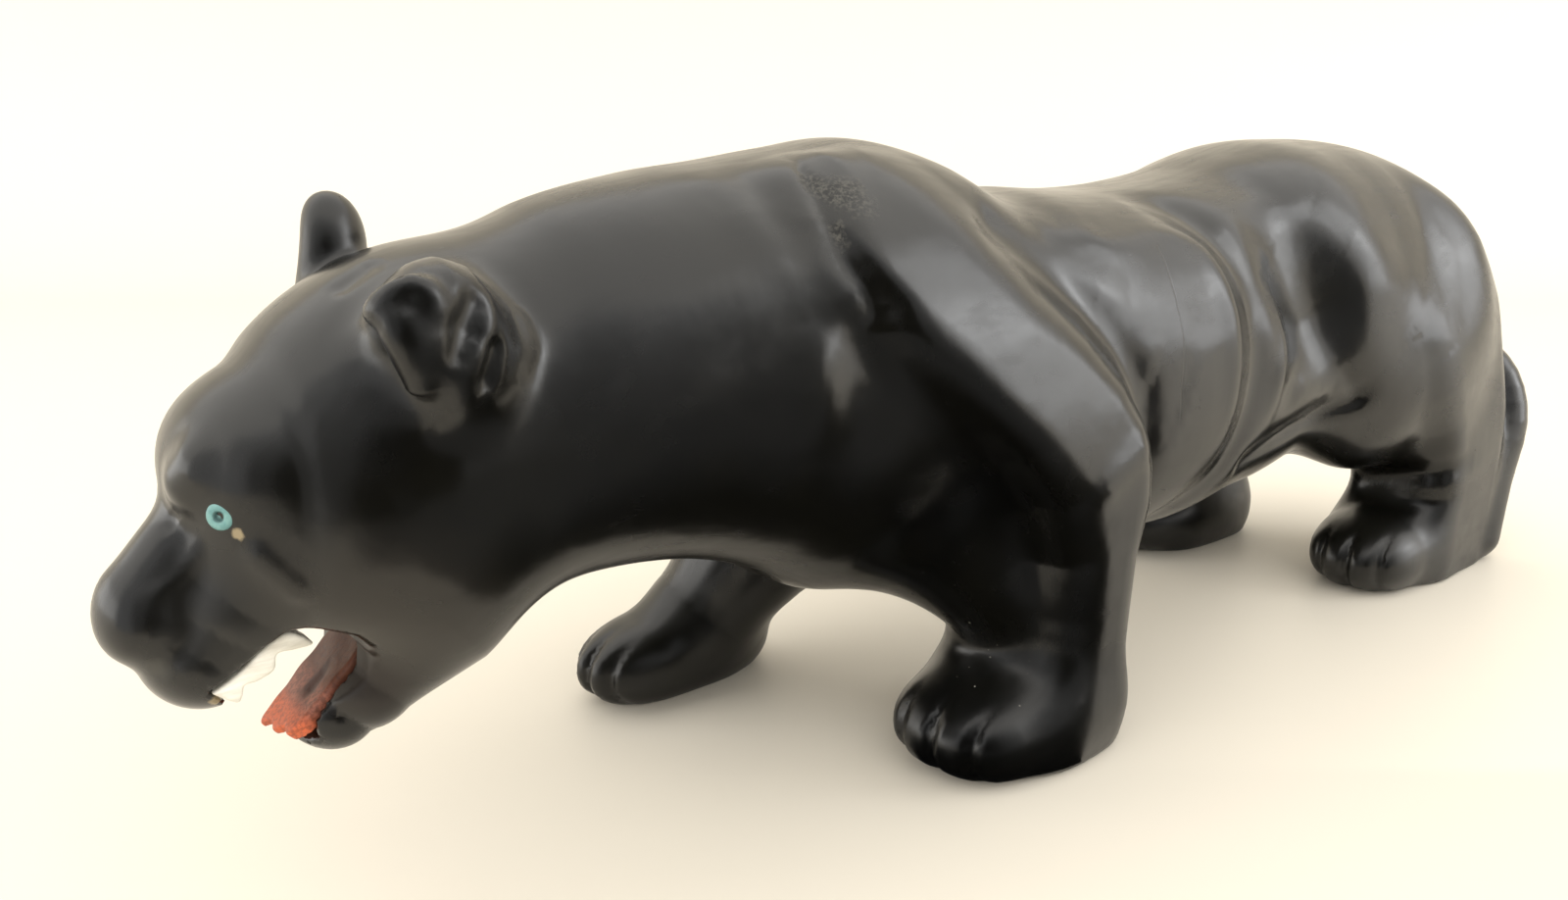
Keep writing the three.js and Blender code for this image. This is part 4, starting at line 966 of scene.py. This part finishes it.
# %% Sockets as numbers
class Maths:
    """One value in a shader. An expression on values adds its Math nodes."""

    def __init__(self, tree, socket):
        self.tree = tree
        self.socket = socket

    def node(self, kind, settings=None, inputs=None, output=0):
        """Adds a node to the value's tree: its settings, then the values or links of its sockets."""
        made = self.tree.nodes.new(kind)
        for name, value in (settings or {}).items():
            if name == "stops":
                elements = made.color_ramp.elements
                while len(elements) < len(value):
                    elements.new(0.5)
                for stop, (at, level) in zip(elements, value):
                    stop.position = at
                    stop.color = (level, level, level, 1)
            else:
                setattr(made, name, value)
        for name, value in (inputs or {}).items():
            if isinstance(value, Maths):
                self.tree.links.new(value.socket, made.inputs[name])
            else:
                made.inputs[name].default_value = value
        return Maths(self.tree, made.outputs[output])

    def math(self, operation, a, b=0.0):
        return self.node("ShaderNodeMath", {"operation": operation}, {0: a, 1: b})

    def __add__(self, other):
        return self.math("ADD", self, other)

    def __mul__(self, other):
        return self.math("MULTIPLY", self, other)

    def __sub__(self, other):
        return self.math("SUBTRACT", self, other)

    def __rsub__(self, other):
        return self.math("SUBTRACT", other, self)

    def __truediv__(self, other):
        return self.math("DIVIDE", self, other)

    def __abs__(self):
        return self.math("ABSOLUTE", self)

    __radd__ = __add__
    __rmul__ = __mul__


def material(name, **fixed):
    """A new material, its shader and the Object coordinates."""
    made = bpy.data.materials.new(name)
    made.use_nodes = True
    shader = made.node_tree.nodes["Principled BSDF"]
    for socket, value in fixed.items():
        shader.inputs[socket.replace("_", " ")].default_value = value
    return made, shader, Maths(made.node_tree, None).node("ShaderNodeTexCoord", output=3)


def feed(shader, **values):
    """Link values that vary over the surface to the shader's sockets."""
    for name, value in values.items():
        value.tree.links.new(value.socket, shader.inputs[name.replace("_", " ")])


# %% Noise, ramps and mixtures
def noise(at, scale, detail=2.0, rough=0.5):
    """Noise with about this many waves to a unit of the coordinates."""
    sockets = {"Vector": at, "Scale": scale, "Detail": detail, "Roughness": rough}
    return at.node("ShaderNodeTexNoise", {}, sockets)


def ramp(value, *stops):
    """A grey that follows stops of (place, level)."""
    return value.node("ShaderNodeValToRGB", {"stops": stops}, {"Fac": value})


def mix(factor, a, b):
    """Colour a where factor is 0, b where it is 1."""
    a, b = (colour if isinstance(colour, Maths) else (*colour, 1) for colour in (a, b))
    return factor.node("ShaderNodeMix", {"data_type": "RGBA"}, {0: factor, 6: a, 7: b}, 2)


def greater(a, b):
    """The greater of two values."""
    return a.math("MAXIMUM", a, b)


# %% Places on the object
def at_place(at, x, y, z, stretch=(1, 1, 1)):
    """Object coordinates measured from a place in the carver's frame, in millimetres."""
    q = (np.array([x, y, z]) + SHIFT) * MM
    moved = at.node("ShaderNodeVectorMath", {"operation": "SUBTRACT"}, {0: at, 1: tuple(q)})
    scale = tuple(1000 * np.array(stretch))
    return moved.node("ShaderNodeVectorMath", {"operation": "MULTIPLY"}, {0: moved, 1: scale})


def how_far(vector):
    """The length of a vector."""
    return vector.node("ShaderNodeVectorMath", {"operation": "LENGTH"}, {0: vector}, 1)


def patch(at, x, y, z, radius, soft=0.3, wobble=0.4, stretch=(1, 1, 1)):
    """1 inside a ragged spot round a place, 0 outside it."""
    there = at_place(at, x, y, z, stretch)
    rag = noise(there, 0.9 / radius, 3, 0.6) - 0.5
    edge = (how_far(there) / radius) + rag * (2 * wobble)
    return ramp(edge, (1 - soft, 1), (1, 0))


def axes(vector):
    """The three parts of a vector."""
    split = vector.node("ShaderNodeSeparateXYZ", {}, {0: vector}).socket.node
    return [Maths(vector.tree, part) for part in split.outputs]


# %% [markdown]
# ## Finishes
# The stone is polished almost to a mirror, so its look is mostly roughness: hazy patches, marks
# of rubbing and worn feet. Its colour is nearly black, with olive clouds, a lighter and browner
# throat, a pale spot under the nose, a painted reflection of the pale floor that lightens the
# side of the muzzle, and a few marks that are laid where the real one has them. The inlays are
# plain stones with a little grain.


# %% Marks on the stone
def raw_groove(at):
    """The unpolished bottom of the groove at the shoulder."""
    spots = [
        patch(at, -22.8, -15.5, 73.6, 3.6, 0.5, 0.9, (1, 0.7, 1.3)),
        patch(at, -24.6, -13, 74.3, 2.2, 0.5, 0.9, (1.2, 0.5, 1)),
        patch(at, -25.9, -18.2, 69.8, 1.6, 0.5, 0.9, (1.5, 1, 0.6)),
    ]
    return greater(greater(spots[0], spots[1]), spots[2])


def hairline(mm, x, y, z):
    """A crack down the left flank: a plane across the body that wanders a little, seen only
    between two heights."""
    wander = (noise(mm, 0.12, 2) - 0.5) * 1.6
    off = abs(x - 30.2 + wander)
    crack = ramp(off / 0.4, (0.2, 1), (0.6, 0)) * ramp(y / -30, (0.5, 0), (0.6, 1))
    return crack * ramp(z / 100, (0.40, 0), (0.44, 1)) * ramp(z / 100, (0.62, 1), (0.67, 0))


def dust_specks(at, mm):
    """Specks in the middle of some cells, on the near paw and on the back behind the shoulder."""
    dots = mm.node("ShaderNodeTexVoronoi", {}, {"Vector": mm, "Scale": 0.75, "Randomness": 1.0})
    sparse = ramp(noise(mm, 0.4, 1), (0.52, 0), (0.6, 1))
    paw_top = patch(at, -3, -20, 13, 10, 0.6, 0.2)
    back = patch(at, 20, -8, 72, 12, 0.6, 0.2) * 0.5
    return ramp(dots, (0.07, 1), (0.11, 0)) * sparse * greater(paw_top, back)


# %% Black stone
def black_stone():
    """Nearly black, with olive clouds, and a lighter grey on the side of the muzzle that is a painted
    reflection of the pale floor. Its polish is uneven: hazy patches, rubbing marks, a raw groove at
    the shoulder, a hairline crack in the flank and dust on the paw."""
    made, shader, at = material("black stone", IOR=1.5)
    mm = at.node("ShaderNodeVectorMath", {"operation": "SCALE"}, {0: at, "Scale": 1000.0})
    x, y, z = axes(at_place(at, 0, 0, 0))
    throat = patch(at, -76, -12, 35, 14, 0.9, 0.5)
    # Round the side of the muzzle the polish is hazier, and its lighter grey is a painted reflection of the
    # pale floor.
    muzzle = patch(at, -89, -8, 38.5, 9.5, 0.8, 0.1)
    raw = raw_groove(at)
    grit = noise(mm, 2.2, 4, 0.7)
    crack = hairline(mm, x, y, z)
    dust = dust_specks(at, mm)
    mouth = patch(at, -77, -6.8, 30.4, 6.3, 0.7, 0.3)
    # A small spot under the nose, paler and rougher than the stone round it.
    pale_nose_spot = patch(at, -94.6, -4.6, 34.6, 1.5, 0.7, 0.3)
    eye_resin = patch(at, -87.8, -9.5, 47.2, 0.7, 0.4, 0.5)
    resin = greater(eye_resin, patch(at, -90.3, -5.8, 30.6, 0.9, 0.4, 0.5))

    cloud = ramp(noise(mm, 0.035, 4), (0.38, 0), (0.68, 1))
    tone = mix(cloud, (0.0014, 0.0014, 0.0012), (0.0046, 0.0043, 0.0028))
    tone = mix(throat * 0.8, tone, (0.016, 0.012, 0.007))
    # Painted reflection: the side of the muzzle is made lighter grey, as if it mirrored the pale floor.
    tone = mix(muzzle * 0.6, tone, (0.016, 0.015, 0.012))
    tone = mix(raw * ramp(grit, (0.45, 0), (0.6, 1)), tone, (0.05, 0.047, 0.038))
    tone = mix(crack * 0.4, tone, (0.016, 0.015, 0.011))
    tone = mix(dust, tone, (0.3, 0.29, 0.25))
    tone = mix(mouth * 0.8, tone, (0.020, 0.012, 0.008))
    tone = mix(pale_nose_spot * 0.6, tone, (0.05, 0.048, 0.04))
    tone = mix(resin * 0.85, tone, (0.30, 0.24, 0.14))

    haze = ramp(noise(mm, 0.06, 5, 0.6), (0.4, 0), (0.75, 1))
    along_body = at_place(at, 0, 0, 0, (0.25, 1.6, 0.5))
    rubbed = ramp(noise(along_body, 0.5, 4), (0.45, 0), (0.7, 1))
    worn = ramp(z / 40 + (haze - 0.5) * 0.2, (0.25, 1), (0.5, 0))
    right_ear_matte = patch(at, -70, 14, 69, 8, 0.5, 0.1)
    ears = greater(right_ear_matte, patch(at, -72, -18, 64, 9, 0.5, 0.1) * 0.6)
    roughness = 0.19 + muzzle * 0.18 + haze * 0.09 + rubbed * 0.07 + worn * 0.10 + ears * 0.14
    roughness = roughness + raw * 0.3 + crack * 0.1 + dust * 0.4
    roughness = roughness + resin * 0.15 + mouth * 0.35 + pale_nose_spot * 0.2

    swell = noise(mm, 0.16, 2)
    height = swell * 0.5 + noise(mm, 2.5, 3, 0.6) * 0.02 + raw * grit * 0.3 - crack * 0.05
    relief = {"Strength": 0.25, "Distance": 0.0006, "Height": height}
    feed(shader, Base_Color=tone, Roughness=roughness, Normal=height.node("ShaderNodeBump", {}, relief))
    return made


# %% Turquoise and shell
def turquoise():
    """Pale blue-green, cloudy, with a darker ring round the drilled hole."""
    made, shader, at = material("turquoise", IOR=1.5)
    grain = ramp(noise(at, 900, 4, 0.6), (0.35, 0), (0.65, 1))
    tone = mix(grain, (0.09, 0.22, 0.22), (0.17, 0.34, 0.32))
    left, right = (how_far(at_place(at, *centre)) for centre in EYE_CENTRES.values())
    near = left.math("MINIMUM", left, right) + grain * 0.08
    ring = ramp(near, (0.24, 0), (0.36, 1), (0.50, 1), (0.66, 0))
    tone = mix(ring * 0.8, tone, (0.02, 0.06, 0.06))
    feed(shader, Base_Color=tone, Roughness=0.3 + grain * 0.2)
    return made


def shell():
    """Milky white with faint layers that follow the strip."""
    made, shader, at = material("white shell", IOR=1.5, Coat_Weight=0.2)
    layers = noise(at_place(at, -86, 0, 33, (0.3, 1, 1.4)), 0.9, 4, 0.6)
    tone = mix(ramp(layers, (0.35, 0), (0.7, 1)), (0.56, 0.53, 0.45), (0.80, 0.78, 0.70))
    feed(shader, Base_Color=tone, Roughness=0.28 + layers * 0.2)
    return made


# %% Coral
def coral():
    """Orange red, paler and brighter at the lobed tip, browner toward the throat, and darker along
    the scooped middle."""
    made, shader, at = material("coral", IOR=1.5)
    there = at_place(at, -80, 0, 27.5)
    x, _, z = axes(there)
    along_it = (x + z * 1.1) * 0.1 + 0.5
    grain = noise(there, 1.1, 5, 0.65)
    tone = mix(ramp(grain, (0.35, 0), (0.65, 1)), (0.20, 0.060, 0.035), (0.33, 0.115, 0.072))
    tone = mix(ramp(along_it + grain * 0.5, (0.75, 0), (1.15, 1)), tone, (0.14, 0.045, 0.022))
    tone = mix(ramp(along_it + grain * 0.3, (0.12, 1), (0.35, 0)), tone, (0.55, 0.11, 0.035))
    spots = ramp(noise(there, 2.2, 4, 0.7), (0.42, 1), (0.55, 0))
    dark_scoop_line = patch(at, -79.9, -0.9, 27.6, 1.5, 0.5, 0.6, (0.45, 1, 0.42))
    tone = mix(greater(dark_scoop_line * 0.9, spots * 0.5), tone, (0.06, 0.022, 0.014))
    bump = grain.node("ShaderNodeBump", {}, {"Strength": 0.4, "Distance": 0.0002, "Height": grain})
    feed(shader, Base_Color=tone, Roughness=0.45 + grain * 0.25, Normal=bump)
    return made


# %% Putting the finishes on
inlays = {turquoise(): eyes, shell(): teeth, coral(): [tongue], black_stone(): [body]}
for finish, pieces in inlays.items():
    for piece in pieces:
        piece.data.materials.append(finish)
    print(finish.name, "on", len(pieces), "of", len(finish.node_tree.nodes), "nodes")

# %% [markdown]
# ## Floor
# The figure stands on a pale table before a pale wall. One sheet that curves up behind it has no
# corner to show.

# %% Floor
FLOOR_BACK, FLOOR_AHEAD, FLOOR_CURVE = -1.6, 0.36, 0.16
FLOOR_HALF, WALL_TOP = 2.2, 0.6


def sweep():
    """A floor carried along a profile that curves up into a wall behind the figure."""
    a = np.linspace(0, math.pi / 2, 17)
    wall = FLOOR_AHEAD + FLOOR_CURVE
    u = np.concatenate([[FLOOR_BACK], FLOOR_AHEAD + FLOOR_CURVE * np.sin(a), [wall]])
    z = np.concatenate([[0.0], FLOOR_CURVE * (1 - np.cos(a)), [WALL_TOP]])
    s = np.array([-FLOOR_HALF, FLOOR_HALF])
    points = u[None, :, None] * AHEAD + s[:, None, None] * RIGHT + z[None, :, None] * (0, 0, 1)
    n = len(u)
    i = np.arange(n - 1)
    faces = np.stack([i, i + n, i + n + 1, i + 1], 1)
    floor = mesh_object("floor", points.reshape(-1, 3) / MM - SHIFT, faces)
    made, shader, at = material("floor", Roughness=0.42, IOR=1.3)
    shade = noise(at, 6, 3)
    feed(shader, Base_Color=mix(shade, (0.70, 0.655, 0.565), (0.68, 0.635, 0.55)))
    floor.data.materials.append(made)
    return floor


sweep()

# %% [markdown]
# ## What the polish mirrors
# Black polished stone shows little but the room. On the near side the real one mirrors a dark
# stretch of table and a dark shape in a dim room, with a clear edge between dark and pale. Real
# boxes there would throw shadows and dim the floor, so two sheets that only mirror rays see
# carry the brightness of each place.

# %% The dark side
BEHIND = -30.0
# to the right of the camera's foot, and how far ahead the dark floor reaches there
DARK_FLOOR = [(-35, 50), (-6, 60), (0, 148), (140, 150), (165, 130), (300, 105), (420, 60)]
ROOM_LEFT, ROOM_RIGHT, ROOM_HIGH = -260.0, 420.0, 320.0
SHADE_MIDDLE = 42.0
CAMERA_FOOT = CAMERA_AT * (1, 1, 0)


def sheet(name, spots, faces):
    """A sheet that only reflections see, from places to the right of the camera's foot, ahead of
    it and above it. Its shader is black, with an emission that is still to be set."""
    points = np.array(spots) @ np.array([RIGHT, AHEAD, (0, 0, 1)])
    made = mesh_object(name, points + CAMERA_FOOT, np.array(faces))
    made.visible_camera = made.visible_diffuse = made.visible_shadow = False
    # The glow of this sheet is a painted reflection: it is seen only in the polish.
    painted_reflection_finish, shader, at = material(name, Roughness=1.0, IOR=1.0, Emission_Strength=1.0)
    shader.inputs["Base Color"].default_value = (0, 0, 0, 1)
    made.data.materials.append(painted_reflection_finish)
    return shader, axes(at_place(at, *CAMERA_FOOT))


def level(there, way):
    """How far a place lies along a level direction."""
    return there[0] * float(way[0]) + there[1] * float(way[1])


def dark_floor():
    """The shaded stretch of table, deepest at its far edge."""
    spots = [spot for s, ahead in DARK_FLOOR for spot in ((s, ahead, 1.0), (s, BEHIND, 1.0))]
    faces = [(2 * i, 2 * i + 1, 2 * i + 3, 2 * i + 2) for i in range(len(DARK_FLOOR) - 1)]
    shader, there = sheet("dark_floor", spots, faces)
    feed(shader, Emission_Color=ramp(level(there, AHEAD) / 200, (0.45, 0.22), (0.62, 0.01)))


def dark_room():
    """The room behind the camera: brighter toward its top and its left, with a dark shape in the
    middle that narrows upward."""
    left, right, high = ROOM_LEFT, ROOM_RIGHT, ROOM_HIGH
    spots = [(left, BEHIND, 0), (right, BEHIND, 0), (right, BEHIND, high), (left, BEHIND, high)]
    shader, there = sheet("dark_room", spots, [(0, 1, 2, 3)])
    to_right, up = level(there, RIGHT), there[2]
    room = ramp(up / ROOM_HIGH, (0.25, 0.32), (0.45, 0.5), (0.7, 0.85), (1, 1.5))
    room = greater(room, ramp(to_right / 1000 + 0.5, (0.37, 1.0), (0.42, 0.0)))
    wide = abs(to_right - SHADE_MIDDLE)
    shape = ramp(wide / 150 + (up - 60.0) / 600, (0.48, 1), (0.6, 0))
    shape = shape * ramp(up / ROOM_HIGH, (0.5, 1), (0.68, 0))
    feed(shader, Emission_Color=room * (1 - shape))


dark_floor()
dark_room()

# %% [markdown]
# ## Light
# The room is evenly bright. A tall window on the right draws the bright bands on the arm and the
# haunch, a small pane in it the brightest spot, and a soft panel on the left the edge of the
# muzzle.

# %% Light
WORLD_STRENGTH = 2.0
# name, place, what it is turned to, size in metres, radiance, colour
PANELS = [
    ("window", (0.70, -0.66, 0.44), (0, 0, 0.05), (0.46, 0.80), 2.3, (0.96, 0.98, 1)),
    ("pane", (0.66, -0.58, 0.40), (0, 0, 0.05), (0.13, 0.18), 4.5, (0.96, 0.98, 1)),
    ("left", (-0.90, 0.48, 0.20), (-0.1, 0, 0.05), (1.2, 0.4), 1.3, (1, 1, 0.98)),
]


def area_light(name, at, aim, size, radiance, colour):
    """A soft panel at a place, turned toward another. Its power is pi * radiance * area."""
    lamp = bpy.data.lights.new(name, "AREA")
    lamp.shape = "RECTANGLE"
    lamp.size, lamp.size_y = size
    lamp.energy = math.pi * radiance * size[0] * size[1]
    lamp.color = colour
    made = bpy.data.objects.new(name, lamp)
    made.location = at
    made.rotation_euler = (Vector(aim) - Vector(at)).to_track_quat("-Z", "Y").to_euler()
    bpy.context.collection.objects.link(made)
    print(name, "gives", lamp.energy, "W")


for panel in PANELS:
    area_light(*panel)

world = bpy.data.worlds.new("world")
world.use_nodes = True
background = world.node_tree.nodes["Background"]
background.inputs["Color"].default_value = (1, 0.97, 0.92, 1)
background.inputs["Strength"].default_value = WORLD_STRENGTH
bpy.context.scene.world = world
bpy.context.scene.view_settings.view_transform = "Standard"
